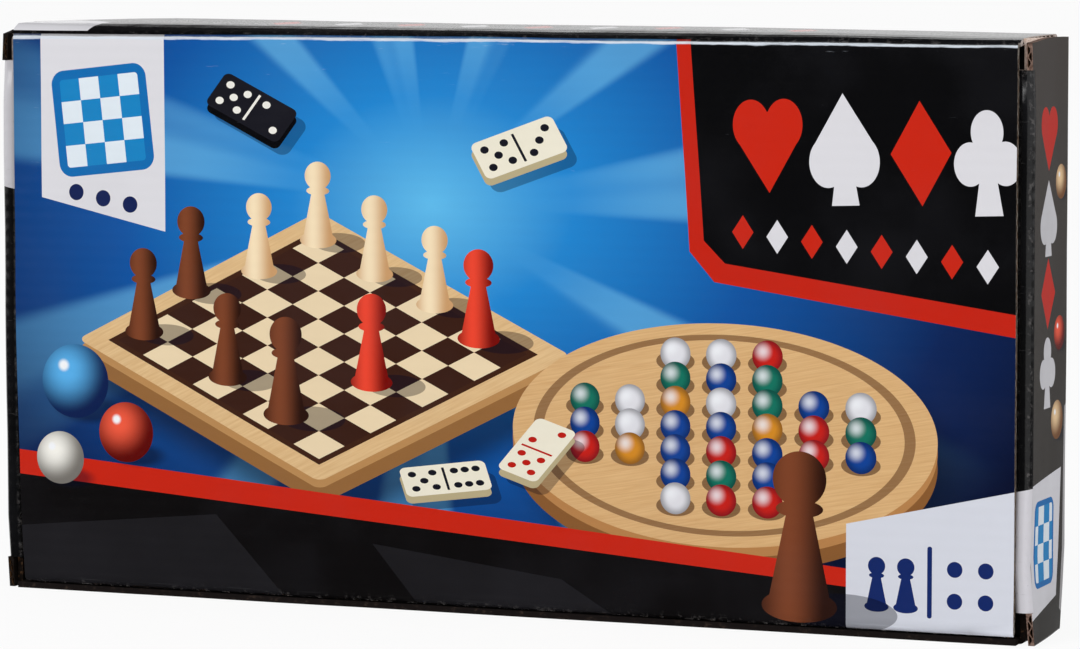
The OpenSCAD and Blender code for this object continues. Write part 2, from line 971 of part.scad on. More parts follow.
dice("ivory", ivory_dice_places) die();  // ivory_dice
dice("firebrick", red_dice_places) die();  // red_dice
dice("ivory", doubling_cube_places) plain_die();  // doubling_cube
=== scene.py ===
# %% [markdown]
# # A carton of board games
# The object is a flat mailer carton of fluted board that stands on its long edge. Its glossy printed lid
# faces the camera, its ends are folded over in rolls, and inside it lies a hinged wooden case with chessmen,
# draughts and dice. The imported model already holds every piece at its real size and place. This lesson
# dresses that model: it bends and dents the board a little, as a used carton is, and gives every piece a
# finish made only of shader nodes. The first cell loads the model. Its lengths are metres, so MM turns the
# millimetres used below into metres.

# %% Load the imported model
import json
import math
import random

import bpy
from mathutils import Matrix, Vector


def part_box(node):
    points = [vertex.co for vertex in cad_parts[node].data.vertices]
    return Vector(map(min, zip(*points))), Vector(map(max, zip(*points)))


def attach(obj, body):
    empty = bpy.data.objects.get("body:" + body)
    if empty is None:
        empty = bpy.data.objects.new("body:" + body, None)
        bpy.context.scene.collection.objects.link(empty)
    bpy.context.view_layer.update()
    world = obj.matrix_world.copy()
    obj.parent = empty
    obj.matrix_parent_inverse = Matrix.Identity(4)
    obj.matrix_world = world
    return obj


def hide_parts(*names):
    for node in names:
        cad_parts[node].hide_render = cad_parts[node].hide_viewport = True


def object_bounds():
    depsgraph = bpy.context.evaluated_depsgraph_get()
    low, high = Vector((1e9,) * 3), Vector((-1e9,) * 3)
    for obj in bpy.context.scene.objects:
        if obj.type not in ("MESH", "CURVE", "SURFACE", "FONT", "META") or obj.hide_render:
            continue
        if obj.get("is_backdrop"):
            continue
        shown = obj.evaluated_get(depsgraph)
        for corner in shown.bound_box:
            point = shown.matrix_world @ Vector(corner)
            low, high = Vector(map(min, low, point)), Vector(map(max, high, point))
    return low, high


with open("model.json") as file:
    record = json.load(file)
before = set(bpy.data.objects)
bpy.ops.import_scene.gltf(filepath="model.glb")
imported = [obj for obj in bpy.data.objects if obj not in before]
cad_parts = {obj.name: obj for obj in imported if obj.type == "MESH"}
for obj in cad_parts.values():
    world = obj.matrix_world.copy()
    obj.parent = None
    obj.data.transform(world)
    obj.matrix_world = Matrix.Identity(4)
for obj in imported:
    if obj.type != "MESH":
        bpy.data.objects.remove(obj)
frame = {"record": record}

MM = 0.001
cad_box = [list(corner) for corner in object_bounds()]
carton_low, carton_high = (Vector(corner) / MM for corner in cad_box)
print("carton in mm:", [round(side, 2) for side in carton_high - carton_low])

# %% [markdown]
# ## Camera
# The photograph was taken from about 1.2 m with a long lens, from the right and a little above. Its place and
# its angles come from the carton's corners, so the carton fills the picture just as it does there. A camera
# looks along its own -Z axis, so it is tipped up by a right angle less the tilt, then turned about the
# upright axis.

# %% Camera
camera_place = Vector((442.18, -1083.55, 175.23)) * MM
camera_turn, camera_tilt, camera_roll = 0.38203, 0.08254, -0.00171
bpy.ops.object.camera_add(location=camera_place)
camera = bpy.context.object
camera.name = "photo_camera"
camera.matrix_world = (
    Matrix.Translation(camera_place)
    @ Matrix.Rotation(camera_turn, 4, "Z")
    @ Matrix.Rotation(math.pi / 2 - camera_tilt, 4, "X")
    @ Matrix.Rotation(camera_roll, 4, "Z")
)
camera.data.sensor_width = 36
camera.data.lens = 141.94
camera.data.clip_end = 30
bpy.context.scene.camera = camera
bpy.context.scene.view_settings.view_transform = "Standard"
print("camera at", [round(c, 3) for c in camera.location], "lens", camera.data.lens)

# %% [markdown]
# ## Helpers for finishes
# A finish is a node material. Writing nodes one by one is long, so `add` makes a node, sets its options,
# fills its inputs in order and hands back one output. The other helpers are short names for the nodes used
# most. All of them write into `tree`, the node tree that is being filled, which `new_finish` sets to that of
# the finish it opens. Colours are written as the red, green and blue that a screen shows, and `ink` turns
# them into linear light.

# %% Helpers for finishes
tree = None


def ink(red, green, blue):
    """A screen colour, 0 to 255 each, as linear light."""
    def linear(value):
        share = value / 255
        return share / 12.92 if share <= 0.04045 else ((share + 0.055) / 1.055) ** 2.4
    return (linear(red), linear(green), linear(blue), 1.0)


def feed(socket, value):
    if isinstance(value, bpy.types.NodeSocket):
        tree.links.new(value, socket)
    elif value is not None:
        socket.default_value = value


def add(kind, *values, out=0, **settings):
    made = tree.nodes.new("ShaderNode" + kind)
    for setting, value in settings.items():
        setattr(made, setting, value)
    for socket, value in zip(made.inputs, values):
        feed(socket, value)
    return made.outputs[out]


def calc(operation, *values):
    return add("Math", *values, operation=operation)


def times(value, share):
    return calc("MULTIPLY", value, share)


def vector(operation, *values):
    out = 1 if operation in ("LENGTH", "DISTANCE", "DOT_PRODUCT") else 0
    return add("VectorMath", *values, operation=operation, out=out)


def blend_colour(share, below, above):
    made = tree.nodes.new("ShaderNodeMix")
    made.data_type = "RGBA"
    feed(made.inputs[0], share)
    feed(made.inputs[6], below)
    feed(made.inputs[7], above)
    return made.outputs[2]


def ramp(value, *stops):
    """A colour ramp: each stop is a position and a colour."""
    made = tree.nodes.new("ShaderNodeValToRGB")
    bands = made.color_ramp.elements
    while len(bands) < len(stops):
        bands.new(0.5)
    for band, (position, colour) in zip(bands, stops):
        band.position = position
        band.color = colour
    feed(made.inputs[0], value)
    return made.outputs[0]


def fade(value, low, high, low_result=0.0, high_result=1.0):
    """Turns low to high into 0 to 1, or into the results given, and holds beyond them."""
    return add("MapRange", value, low, high, low_result, high_result, interpolation_type="SMOOTHSTEP")


def noise(place, scale, detail=3.0, roughness=0.55):
    return add("TexNoise", place, None, scale, detail, roughness)


def new_finish(name, roughness=0.5, specular=0.5, coat=0.0, coat_roughness=0.1, metallic=0.0):
    """Opens a finish; the helpers then add their nodes to it."""
    global tree
    finish = bpy.data.materials.new(name)
    finish.use_nodes = True
    tree = finish.node_tree
    shader = tree.nodes["Principled BSDF"]
    for socket, value in (("Roughness", roughness), ("Specular IOR Level", specular), ("Coat Weight", coat),
                          ("Coat Roughness", coat_roughness), ("Metallic", metallic)):
        shader.inputs[socket].default_value = value
    return finish


def put(socket, value):
    """Gives one of the shader's sockets a value, or links an output to it."""
    feed(tree.nodes["Principled BSDF"].inputs[socket], value)


def put_bump(height, depth_mm):
    """Raises the surface by up to depth_mm where height is 1."""
    put("Normal", add("Bump", 1.0, depth_mm * MM, None, height))


def scaled(place, factor):
    return vector("SCALE", place, None, None, factor)


def axes(place):
    """The three parts of a vector."""
    return add("SeparateXYZ", place).node.outputs


def object_place():
    """The point's own place on the object, in millimetres."""
    return scaled(add("TexCoord", out=3), 1 / MM)


def object_facing():
    """The direction that the surface faces, in the object's own axes."""
    return add("TexCoord", out=1)


print("helpers ready; a mid grey is", [round(c, 3) for c in ink(128, 128, 128)])

# %% [markdown]
# ## Studio
# A white sweep stands under and behind the carton: one sheet, turned up at the back in a wide curve, so that
# no line shows between floor and wall. It starts as a plane whose back edge is extruded upwards, and a bevel
# rounds the fold. Camera and mirror rays see it almost white, and the rest of its light keeps the carton's
# soft shadow. Two large lamps and an even world light the print at a plain level. Three dark cards, which
# only reflections see, are placed as photographers place them, in front, at the right and overhead, so that
# glossy black stays black.

# %% Sweep
def only_selected(*chosen):
    if bpy.context.mode != "OBJECT":
        bpy.ops.object.mode_set(mode="OBJECT")
    bpy.ops.object.select_all(action="DESELECT")
    for piece in chosen:
        piece.select_set(True)
    bpy.context.view_layer.objects.active = chosen[-1]


def choose_edges(piece, wanted):
    """Selects the edges whose middle wanted says yes to, and leaves the piece in edit mode."""
    only_selected(piece)
    bpy.ops.object.mode_set(mode="EDIT")
    bpy.ops.mesh.select_mode(type="EDGE")
    bpy.ops.mesh.select_all(action="DESELECT")
    bpy.ops.object.mode_set(mode="OBJECT")
    for edge in piece.data.edges:
        a, b = (piece.data.vertices[i].co for i in edge.vertices)
        edge.select = wanted((a + b) / 2)
    bpy.ops.object.mode_set(mode="EDIT")


def seen_directly():
    """1 for the rays of the camera, of mirrors and of clear things, and 0 for all others."""
    path = tree.nodes.new("ShaderNodeLightPath")
    seen = path.outputs["Is Camera Ray"]
    for ray in ("Is Glossy Ray", "Is Transmission Ray"):
        seen = calc("MAXIMUM", seen, path.outputs[ray])
    return seen


SWEEP_SIDE, SWEEP_HEIGHT, SWEEP_BEND, SWEEP_WHITE = 6, 4, 1.2, 0.9
NEAR_BACK = SWEEP_SIDE / 2 - 0.1
bpy.ops.mesh.primitive_plane_add(size=SWEEP_SIDE, location=(0, 0, 0))
sweep = bpy.context.object
sweep.name = "sweep"
choose_edges(sweep, lambda middle: middle.y > NEAR_BACK)
bpy.ops.mesh.extrude_region_move(TRANSFORM_OT_translate={"value": (0, 0, SWEEP_HEIGHT)})
choose_edges(sweep, lambda middle: middle.y > NEAR_BACK and middle.z < 0.1)
bpy.ops.mesh.bevel(offset=SWEEP_BEND, segments=24, affect="EDGES")
bpy.ops.object.mode_set(mode="OBJECT")
bpy.ops.object.shade_smooth()
sweep.data.materials.append(new_finish("white_sweep", roughness=0.9, specular=0.1))
put("Base Color", (0.86, 0.86, 0.86, 1))
white_light = add("Emission", (1, 1, 1, 1), 1.0)
lit_surface = tree.nodes["Principled BSDF"].outputs[0]
mixed = add("MixShader", times(seen_directly(), SWEEP_WHITE), lit_surface, white_light)
feed(tree.nodes["Material Output"].inputs[0], mixed)
sweep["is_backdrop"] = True
print("sweep faces:", len(sweep.data.polygons))

# %% World
WORLD_LIGHT = 0.62
world = bpy.data.worlds.new("studio_world")
bpy.context.scene.world = world
world.use_nodes = True
tree = world.node_tree
sky = tree.nodes["Background"]
feed(sky.inputs["Color"], (1, 1, 1, 1))
feed(sky.inputs["Strength"], calc("MULTIPLY_ADD", seen_directly(), 1 - WORLD_LIGHT, WORLD_LIGHT))
print("the world lights surfaces at", WORLD_LIGHT, "and shows white behind the carton")


# %% Lamps and dark cards
def soft_lamp(name, place, size, watts):
    """A square lamp that looks at the middle of the carton."""
    bpy.ops.object.light_add(type="AREA", location=place)
    lamp = bpy.context.object
    lamp.name = name
    lamp.data.shape = "SQUARE"
    lamp.data.size = size
    lamp.data.energy = watts
    towards = Vector((0, 0, 0.08)) - Vector(place)
    lamp.rotation_euler = towards.to_track_quat("-Z", "Y").to_euler()
    return lamp


key_lamp = soft_lamp("key_lamp", (-1.1, -1.9, 1.9), 1.4, 26)
fill_lamp = soft_lamp("fill_lamp", (2.2, -1.1, 1.0), 1.2, 15)


def reflected_card(name, near, far, left, right, height, reflected_glow, floor=0.0002):
    """A card that only reflections see, glowing faintly as a painted reflection: level from near to far, then
    turned up or down.
    """
    bpy.ops.mesh.primitive_plane_add(size=1, location=(0, 0, 0))
    card = bpy.context.object
    card.name = name
    for corner in card.data.vertices:
        corner.co = ((left, right)[corner.co.x > 0], (near, far)[corner.co.y > 0], floor)
    choose_edges(card, lambda middle: abs(middle.y - far) < 0.01)
    bpy.ops.mesh.extrude_region_move(TRANSFORM_OT_translate={"value": (0, 0, height)})
    bpy.ops.object.mode_set(mode="OBJECT")
    for ray in ("camera", "diffuse", "transmission", "shadow", "volume_scatter"):
        setattr(card, "visible_" + ray, False)
    card.data.materials.append(new_finish(name, roughness=1.0, specular=0.0))
    put("Base Color", (0, 0, 0, 1))
    # The faint glow is no lamp: it sets the grey that glossy surfaces reflect from the card, a painted
    # reflection.
    put("Emission Color", (reflected_glow, reflected_glow, reflected_glow, 1))
    put("Emission Strength", 1.0)
    card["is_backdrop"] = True


reflected_card("front_card", -0.012, -2.9, -2.0, 0.16, 1.9, 0.02)
reflected_card("side_card", -0.1, 1.7, 0.1495, 1.6, 1.0, 0.16)
reflected_card("upper_card", -1.2, 1.5, -2.0, 2.0, -1.25, 0.03, floor=2.0)
print("lamps:", key_lamp.data.energy, "W and", fill_lamp.data.energy, "W")

# %% [markdown]
# ## The printer's tools
# The carton is printed all over. The design here is a plain one for any box of games: a burst of blue light,
# a chequered board, dominoes, pegs and marbles, card suits and pips, with no words. A shader paints it like a
# screen printer, layer on layer: a mask says where the ink goes, and `over` lays the ink on what is below.
# `motif` moves and turns the sheet under the brush, so that each shape can be drawn round its own middle. The
# renderer works nodes out in the order they were made and keeps each result until its last use, in a small
# store. Mapping and checker nodes change one kind of vector to another, and such nodes wait until all others
# are done, so that hundreds of masks pile up. The shapes below therefore use vector maths only, and `after`
# makes them wait for the few noise textures that the design needs.

# %% The printer's tools
def flat_place(across, up):
    """Two of the object's axes, in millimetres, as a flat sheet."""
    parts = axes(object_place())
    return add("CombineXYZ", parts[across], parts[up], 0.0)


def motif(place, middle=(0, 0), turn=0.0, size=(1, 1)):
    """The sheet seen from middle, turned by turn degrees and measured in units of size."""
    if middle != (0, 0):
        place = vector("SUBTRACT", place, (*middle, 0))
    if turn:
        c, s = math.cos(math.radians(turn)), math.sin(math.radians(turn))
        across = vector("DOT_PRODUCT", place, (c, s, 0))
        place = add("CombineXYZ", across, vector("DOT_PRODUCT", place, (-s, c, 0)), 0.0)
    if size != (1, 1):
        place = vector("MULTIPLY", place, (1 / size[0], 1 / size[1], 1))
    return place


def after(place, *values):
    """The same place, but worked out only once the values are known."""
    for value in values:
        speck = add("CombineXYZ", times(value, 1e-6), 0.0, 0.0)
        place = vector("ADD", place, speck)
    return place


def checks(place, width):
    """1 on every second square."""
    cell = vector("FLOOR", scaled(place, 1 / width))
    return calc("PINGPONG", vector("DOT_PRODUCT", cell, (1, 1, 0)), 1.0)


def draw_lots(cell):
    """A number from 0 to 1 for each whole-numbered cell."""
    wild = calc("SINE", vector("DOT_PRODUCT", cell, (12.9898, 78.233, 0)))
    return calc("FRACT", times(wild, 4375.85))


def over(below, mask, colour):
    return blend_colour(mask, below, colour)


def either(*masks):
    joined = masks[0]
    for mask in masks[1:]:
        joined = calc("MAXIMUM", joined, mask)
    return joined


def both(*masks):
    joined = masks[0]
    for mask in masks[1:]:
        joined = times(joined, mask)
    return joined


def outside(mask):
    return calc("SUBTRACT", 1.0, mask)


def disc(place, radius):
    return calc("LESS_THAN", vector("LENGTH", place), radius)


def slab(place, width, height, corner=0.001):
    """A rectangle with round corners."""
    away = vector("ABSOLUTE", place)
    away = vector("SUBTRACT", away, (width / 2 - corner, height / 2 - corner, 0))
    away = vector("MAXIMUM", away, (0, 0, 0))
    return disc(away, corner)


def lozenge(place, width, height):
    away = vector("ABSOLUTE", place)
    return calc("LESS_THAN", vector("DOT_PRODUCT", away, (2 / width, 2 / height, 0)), 1.0)


def side_of(place, a, b):
    """Everything to the left of the line from a to b."""
    across, up = b[0] - a[0], b[1] - a[1]
    reach = a[1] * across - a[0] * up
    return calc("GREATER_THAN", vector("DOT_PRODUCT", place, (-up, across, 0)), reach)


def polygon(place, *corners):
    """A convex shape, its corners given anticlockwise."""
    return both(*(side_of(place, a, b) for a, b in zip(corners, corners[1:] + corners[:1])))


def soft_disc(place, radius, edge):
    return fade(vector("LENGTH", place), radius + edge, radius - edge)


print("a mask for each shape: disc, slab, lozenge, polygon")

# %% [markdown]
# ## Board panels
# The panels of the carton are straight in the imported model. Real board isn't: the top bulges where the tuck
# pushes it up, the lid's free corner bows, and every panel waves a little. A cage does that to all of them at
# once. Each panel is copied, its loose triangles are joined, and planes cut it into short spans that can
# bend. Then one lattice round the whole carton moves them together, so that the panels still meet at their
# creases. Before the panels bend, each face is sorted by place and direction. Slot 0 is the bare cut edge,
# then come the printed outer paper, the open flutes and the brown inner paper. The renderer works out a whole
# finish for every point it meets, so the lid's rich design is split into fields with a slot each, and a
# field's finish holds only the motifs that reach into it.

# %% Copies of the panels
def joined_copy(node, name):
    """A new piece with the shape of a CAD node, its triangles joined."""
    piece = bpy.data.objects.new(name, bpy.data.objects[node].data.copy())
    bpy.context.collection.objects.link(piece)
    piece.data.materials.clear()
    only_selected(piece)
    bpy.ops.object.mode_set(mode="EDIT")
    bpy.ops.mesh.select_all(action="SELECT")
    bpy.ops.mesh.remove_doubles(threshold=0.002 * MM)
    bpy.ops.mesh.dissolve_limited(angle_limit=math.radians(0.3))
    bpy.ops.object.mode_set(mode="OBJECT")
    body = next(owner for owner, members in frame["record"]["behaviour"]["bodies"].items() if node in members)
    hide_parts(node)
    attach(piece, body)
    return piece


def cut_at(piece, axis, *places):
    """Cuts the piece with planes across an axis, at places in millimetres."""
    only_selected(piece)
    bpy.ops.object.mode_set(mode="EDIT")
    across = Vector([float(i == axis) for i in range(3)])
    for place in places:
        bpy.ops.mesh.select_all(action="SELECT")
        bpy.ops.mesh.bisect(plane_co=across * place * MM, plane_no=across)
    bpy.ops.object.mode_set(mode="OBJECT")


def cut_spans(piece, axis, spacing):
    """Cuts the piece across an axis into even spans, about spacing millimetres long."""
    places = [vertex.co[axis] / MM for vertex in piece.data.vertices]
    low, reach = min(places), max(places) - min(places)
    count = int(reach / spacing) + 1
    cut_at(piece, axis, *[low + reach * i / count for i in range(1, count)])


# %% Kinds of faces
END, BACK, TOP = carton_high
BOARD, FOLD, NEAR = 1.6, 2.0, 0.1
FOLD_START, LOWER_FOLD, FRONT_LIP, STRIP_INSIDE = BACK - FOLD, 4.0, 0.35, 2.8
# Each test gets a face's direction n, its middle c in millimetres, and out: how far it faces outwards in X.


def lid_kind(n, c, out):
    if n.y < -0.3 and (c.y < NEAR - BACK or c.z > TOP - FOLD or c.z < LOWER_FOLD + 0.01):
        return "print"
    inner = c.y > BOARD - NEAR - BACK
    if n.y > 0.5 and inner:
        return "inside"
    return "flute" if abs(n.x) < 0.5 and not inner and LOWER_FOLD < c.z < TOP - FOLD else "cut"


def tuck_kind(n, c, out):
    return "print" if n.z < -0.3 else "inside" if n.z > 0.3 else "cut"


def top_kind(n, c, out):
    if (n.z > 0.3 and (c.z > TOP - NEAR or abs(c.y) > FOLD_START)) or (n.y > 0.05 and c.y > FOLD_START):
        return "print"
    if n.z < -0.5 and c.z < TOP - BOARD + NEAR:
        return "inside"
    return "flute" if abs(n.x) < 0.5 and c.z < TOP - NEAR and abs(c.y) < FOLD_START - NEAR else "cut"


def bottom_kind(n, c, out):
    if (n.z < -0.3 and c.z < NEAR) or (c.y > FOLD_START and (n.y > 0.05 or n.z < -0.3)):
        return "print"
    if n.z > 0.5 and c.z > BOARD - NEAR:
        return "inside"
    between_folds = FRONT_LIP - BACK < c.y < FOLD_START - NEAR
    return "flute" if abs(n.x) < 0.5 and c.z < BOARD - NEAR and between_folds else "cut"


def outer_wall_kind(n, c, out):
    depth = END - abs(c.x)
    if (out > 0.3 and depth < NEAR) or (c.y > FOLD_START and (out > 0.05 or n.y > 0.05)):
        return "print"
    if out < -0.5 and depth > BOARD - NEAR:
        return "inside"
    level_cut = abs(n.y) < 0.5 and abs(n.z) < 0.99
    return "flute" if level_cut and depth > NEAR and c.y < FOLD_START - NEAR else "cut"


def strip_kind(n, c, out):
    depth = END - abs(c.x)
    shows = n.y < -0.3 or (out > 0.05 and depth < FOLD) or (out < -0.05 and depth > STRIP_INSIDE)
    return "print" if shows else "cut"


def base_kind(n, c, out):
    return "print" if n.y > 0.5 else "inside" if n.y < -0.5 else "cut"


PANELS = {
    "lid_panel": lid_kind, "tuck_flap": tuck_kind, "top_wall": top_kind, "bottom_wall": bottom_kind,
    "left_outer_wall": outer_wall_kind, "right_outer_wall": outer_wall_kind,
    "left_roll_strip": strip_kind, "right_roll_strip": strip_kind, "base_panel": base_kind,
}
print("tests for", len(PANELS), "panels")

# %% Panels in spans, with their slots
LID_LENGTH, COLUMNS, ROWS = 293.5, 6, 4
SPAN, SHORT_SPAN, NEAR_UPRIGHT_FOLDS, NEAR_DEEP_FOLDS = 12, 4, (154.0, 6.0), (15.1, -15.1)


def field_of(centre):
    """Which of the lid's printed fields a face lies in, counted along the rows from the lower left."""
    column = int((centre.x / LID_LENGTH + 0.5) * COLUMNS)
    row = int(centre.z / TOP * ROWS)
    return min(max(column, 0), COLUMNS - 1) + COLUMNS * min(max(row, 0), ROWS - 1)


panels = {}
for node, kind_of in PANELS.items():
    panel = joined_copy(node, node + "_card")
    cut_spans(panel, 2 if node.startswith(("left", "right")) else 0, SPAN)
    if node in ("lid_panel", "base_panel"):
        cut_spans(panel, 2, SPAN)
        cut_at(panel, 2, *NEAR_UPRIGHT_FOLDS)
    else:
        cut_spans(panel, 1, SHORT_SPAN)
        cut_at(panel, 1, *NEAR_DEEP_FOLDS)
    fields = COLUMNS * ROWS if node == "lid_panel" else 1
    slots = {"cut": 0, "print": 1, "flute": fields + 1, "inside": fields + 2}
    kinds = []
    for face in panel.data.polygons:
        centre = face.center / MM
        kind = kind_of(face.normal, centre, face.normal.x * math.copysign(1, centre.x))
        face.material_index = slots[kind] + (field_of(centre) if kind == "print" and fields > 1 else 0)
        kinds.append(kind)
    panels[node] = panel
    print(node, "faces:", {kind: kinds.count(kind) for kind in slots})

# %% [markdown]
# ## Cage for the board
# A lattice is a cage of points round the carton, and what lies in it follows when a point moves. There is no
# operator for moving points one by one, so the code moves each by its share of the carton's length, depth and
# height. One cage waves every panel a little. Another bulges the left end wall and bends the right one's
# corners, and a third bows the lid's free corner. The last one lifts the top: the tuck presses it up into a
# low dome, highest at the left, which steepens just behind the crease. The waves are seeded, so every run
# bends the carton in the same way.

# %% Cage for the board
CAGE_SIDES, CAGE_MIDDLE = Vector((302, 36, 158.4)), Vector((0, 0, 79))


def bend_with_cage(name, bent, counts, push):
    """Bends the pieces with a lattice round the carton; push gives each point's move in millimetres."""
    bpy.ops.object.add(type="LATTICE", location=CAGE_MIDDLE * MM)
    cage = bpy.context.object
    cage.name = name
    cage.scale = CAGE_SIDES * MM
    cage.data.points_u, cage.data.points_v, cage.data.points_w = counts
    for axis in "uvw":
        setattr(cage.data, "interpolation_type_" + axis, "KEY_CATMULL_ROM")
    across, deep, high = counts
    for i, point in enumerate(cage.data.points):
        column, row, layer_up = i % across, i // across % deep, i // (across * deep)
        move = push(Vector((column / (across - 1), row / (deep - 1), layer_up / (high - 1))))
        point.co_deform = point.co_deform + Vector([m / side for m, side in zip(move, CAGE_SIDES)])
    for piece in bent:
        bend = piece.modifiers.new("bend", "LATTICE")
        bend.object = cage
        only_selected(piece)
        bpy.ops.object.modifier_apply(modifier="bend")
    bpy.data.objects.remove(cage)


def level(share, *heights):
    """Reads a height between evenly spaced ones."""
    along = share * (len(heights) - 1)
    step = min(int(along), len(heights) - 2)
    return heights[step] + (heights[step + 1] - heights[step]) * (along - step)


print("a cage of", [round(side, 1) for side in CAGE_SIDES], "mm")

# %% Pushes of the cages
waves = random.Random(5)
BACK_CORNER, ROLL_BULGE, LEFT_RISE, CORNER_BEND, CORNER_DENT, CORNER_DROP = 0.6, 1.2, 3.2, 1.4, 0.6, 1.3
LID_BOW, LID_REST = (2.4, 1.2, 0.7, 0.3, 0.0), 0.35
FRONT_HEIGHTS = (0.5, 0.5, 0.2, -0.2, -0.7)
CREST_HEIGHTS = (3.6, 4.3, 3.8, 3.3, 2.8, 2.5, 2.1, 1.4, 0.7)
STEEP_RISE = (0.0, 0.85, 0.9, 0.93, 0.95, 0.97, 0.98, 0.99, 1.0)
GENTLE_RISE = (0.0, 0.4, 0.66, 0.74, 0.8, 0.87, 0.93, 0.97, 1.0)


def wave_push(share):
    """Every panel waves; the right end's back corner turns out above and in below."""
    push = Vector((waves.uniform(-0.1, 0.1), waves.uniform(-0.25, 0.15), waves.uniform(-0.1, 0.1)))
    if share.z == 0:
        push.z = 0
    if share.x == 1 and share.y == 1:
        push.x += BACK_CORNER if share.z > 0 else -BACK_CORNER
    return push


def end_push(share):
    """The left roll bulges and its top rises with the top wall; at the right the front corners are bent."""
    front = share.y == 0
    if share.x == 0:
        rise = LEFT_RISE if share.z == 1 and not front else 0
        return Vector((-ROLL_BULGE if front and 0 < share.z < 1 else 0, 0, rise))
    if share.x < 1:
        return Vector((0, 0, 0))
    if share.z == 0:
        return Vector((CORNER_BEND * (1 - share.y), 0, 0))
    if front and share.z == 1:
        return Vector((-CORNER_DENT, 0, -CORNER_DROP))
    return Vector((-CORNER_DENT if front and share.z < 0.2 else 0, 0, 0))


def corner_push(share):
    """The lid's lower left corner bows inwards, and its lower fold rests on the bottom wall."""
    if share.y > 0:
        return Vector((0, 0, 0))
    bow = level(min(2 * share.z, 1.0), *LID_BOW) if share.x == 0 else 0.0
    return Vector((bow, 0, -LID_REST if share.z == 0 else 0))


def lift_push(share):
    """The top rises from the crease in front to a crest, steeply at its left end."""
    if share.z < 0.99:
        return Vector((0, 0, 0))
    front, crest = level(share.x, *FRONT_HEIGHTS), level(share.x, *CREST_HEIGHTS)
    rise = level(share.y, *(STEEP_RISE if share.x == 0 else GENTLE_RISE))
    return Vector((0, 0, front + (crest - front) * rise))


ends = [panel for node, panel in panels.items() if node.startswith(("left", "right"))]
lifted = [panels[node] for node in ("top_wall", "lid_panel", "base_panel")]
bend_with_cage("wave_cage", panels.values(), (17, 3, 9), wave_push)
bend_with_cage("end_cage", ends, (17, 3, 9), end_push)
bend_with_cage("corner_cage", [panels["lid_panel"], panels["tuck_flap"]], (17, 3, 9), corner_push)
bend_with_cage("lift_cage", lifted, (9, 9, 9), lift_push)
for panel in panels.values():
    only_selected(panel)
    bpy.ops.object.shade_smooth_by_angle(angle=math.radians(28))
bent_low, bent_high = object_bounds()
print("bent:", len(panels), "panels; the box is now", [round(side / MM, 1) for side in bent_high - bent_low])

# %% [markdown]
# ## Painters for the motifs
# Each painter lays one motif on the sheet: a shadow first, then the side of the thing, then its top, then
# what is on it. A thing lies flat on the pictured table when its sheet is squashed to half its height and
# then turned.

# %% Colours used more than once
SHADE, BLACK, DEEP_BLACK, NAVY = ink(9, 12, 30), ink(10, 10, 12), ink(8, 8, 10), ink(22, 42, 104)
WHITE_CARD, TAG_WHITE = ink(222, 221, 226), ink(216, 215, 220)
RED, TAG_BLUE = ink(203, 36, 15), ink(16, 108, 178)
TAG_SQUARES = ink(226, 236, 244), ink(22, 132, 196)
BOARD_SQUARES = ink(238, 216, 178), ink(60, 32, 22)
DARK_PEG = ink(44, 20, 12), ink(128, 68, 40)
LIGHT_PEG = ink(206, 158, 108), ink(250, 228, 190)
RED_PEG = ink(120, 10, 6), ink(240, 70, 46)
RED_GLASS = ink(96, 8, 6), ink(244, 92, 64)
BLUE_GLASS = ink(6, 30, 80), ink(90, 180, 240)
WOODEN_BALL = ink(120, 76, 40), ink(240, 206, 160)
DOMINO_IVORY = ink(240, 234, 214), ink(186, 172, 134)
PALE_DOMINO = (*DOMINO_IVORY, ink(24, 24, 34))
DARK_DOMINO = ink(26, 26, 34), ink(8, 8, 12), ink(238, 236, 228)
print("the red of a peg runs from", round(RED_PEG[0][0], 2), "to", round(RED_PEG[1][0], 2))


# %% Painters for the motifs
def tilted(sheet, middle, turn, squash=0.5):
    return motif(motif(sheet, middle, size=(1, squash)), turn=turn)


def dim(below, mask, share=0.5):
    return over(below, times(mask, share), SHADE)


def pegs(sheet, below, feet, height, dark, light, shadow=0.55):
    """Turned pegs: a cone with a collar and a ball, lit from the left."""
    for foot in feet:
        here = motif(sheet, foot, 0, (height, height))
        if shadow:
            below = dim(below, disc(motif(here, (0.28, 0.0), 0, (1, 0.35)), 0.34), shadow)
        body = polygon(here, (-0.21, 0.0), (0.21, 0.0), (0.07, 0.66), (-0.07, 0.66))
        base = disc(motif(here, (0, 0.03), 0, (1, 0.42)), 0.24)
        collar = disc(motif(here, (0, 0.62), 0, (1, 0.36)), 0.15)
        mask = either(body, base, collar, disc(motif(here, (0, 0.8)), 0.17))
        shine = fade(calc("ABSOLUTE", calc("ADD", axes(here)[0], 0.07)), 0.24, 0.0)
        below = over(below, mask, blend_colour(shine, dark, light))
    return below


def marble(sheet, below, middle, radius, dark, light):
    here = motif(sheet, middle, 0, (radius, radius))
    below = dim(below, soft_disc(motif(here, (0.45, -0.75), 0, (1.3, 0.5)), 0.7, 0.25), 0.6)
    lit = fade(vector("LENGTH", motif(here, (-0.25, 0.3))), 1.2, 0.1)
    below = over(below, disc(here, 1.0), blend_colour(lit, dark, light))
    return over(below, soft_disc(motif(here, (-0.35, 0.42)), 0.14, 0.07), ink(250, 252, 255))


def domino(sheet, below, middle, turn, squash, pips, face, edge, dots):
    """A domino 26 long and 13 wide; pips lists the places of its dots."""
    x, y = middle
    below = dim(below, slab(tilted(sheet, (x + 2.5, y - 3.4), turn, squash), 27, 14, 3))
    below = over(below, slab(tilted(sheet, (x, y - 1.9), turn, squash), 26, 13, 2), edge)
    here = tilted(sheet, middle, turn, squash)
    below = over(below, slab(here, 26, 13, 2), face)
    below = over(below, slab(here, 0.8, 10), dots)
    for place in pips:
        below = over(below, disc(motif(here, place), 1.25), dots)
    return below


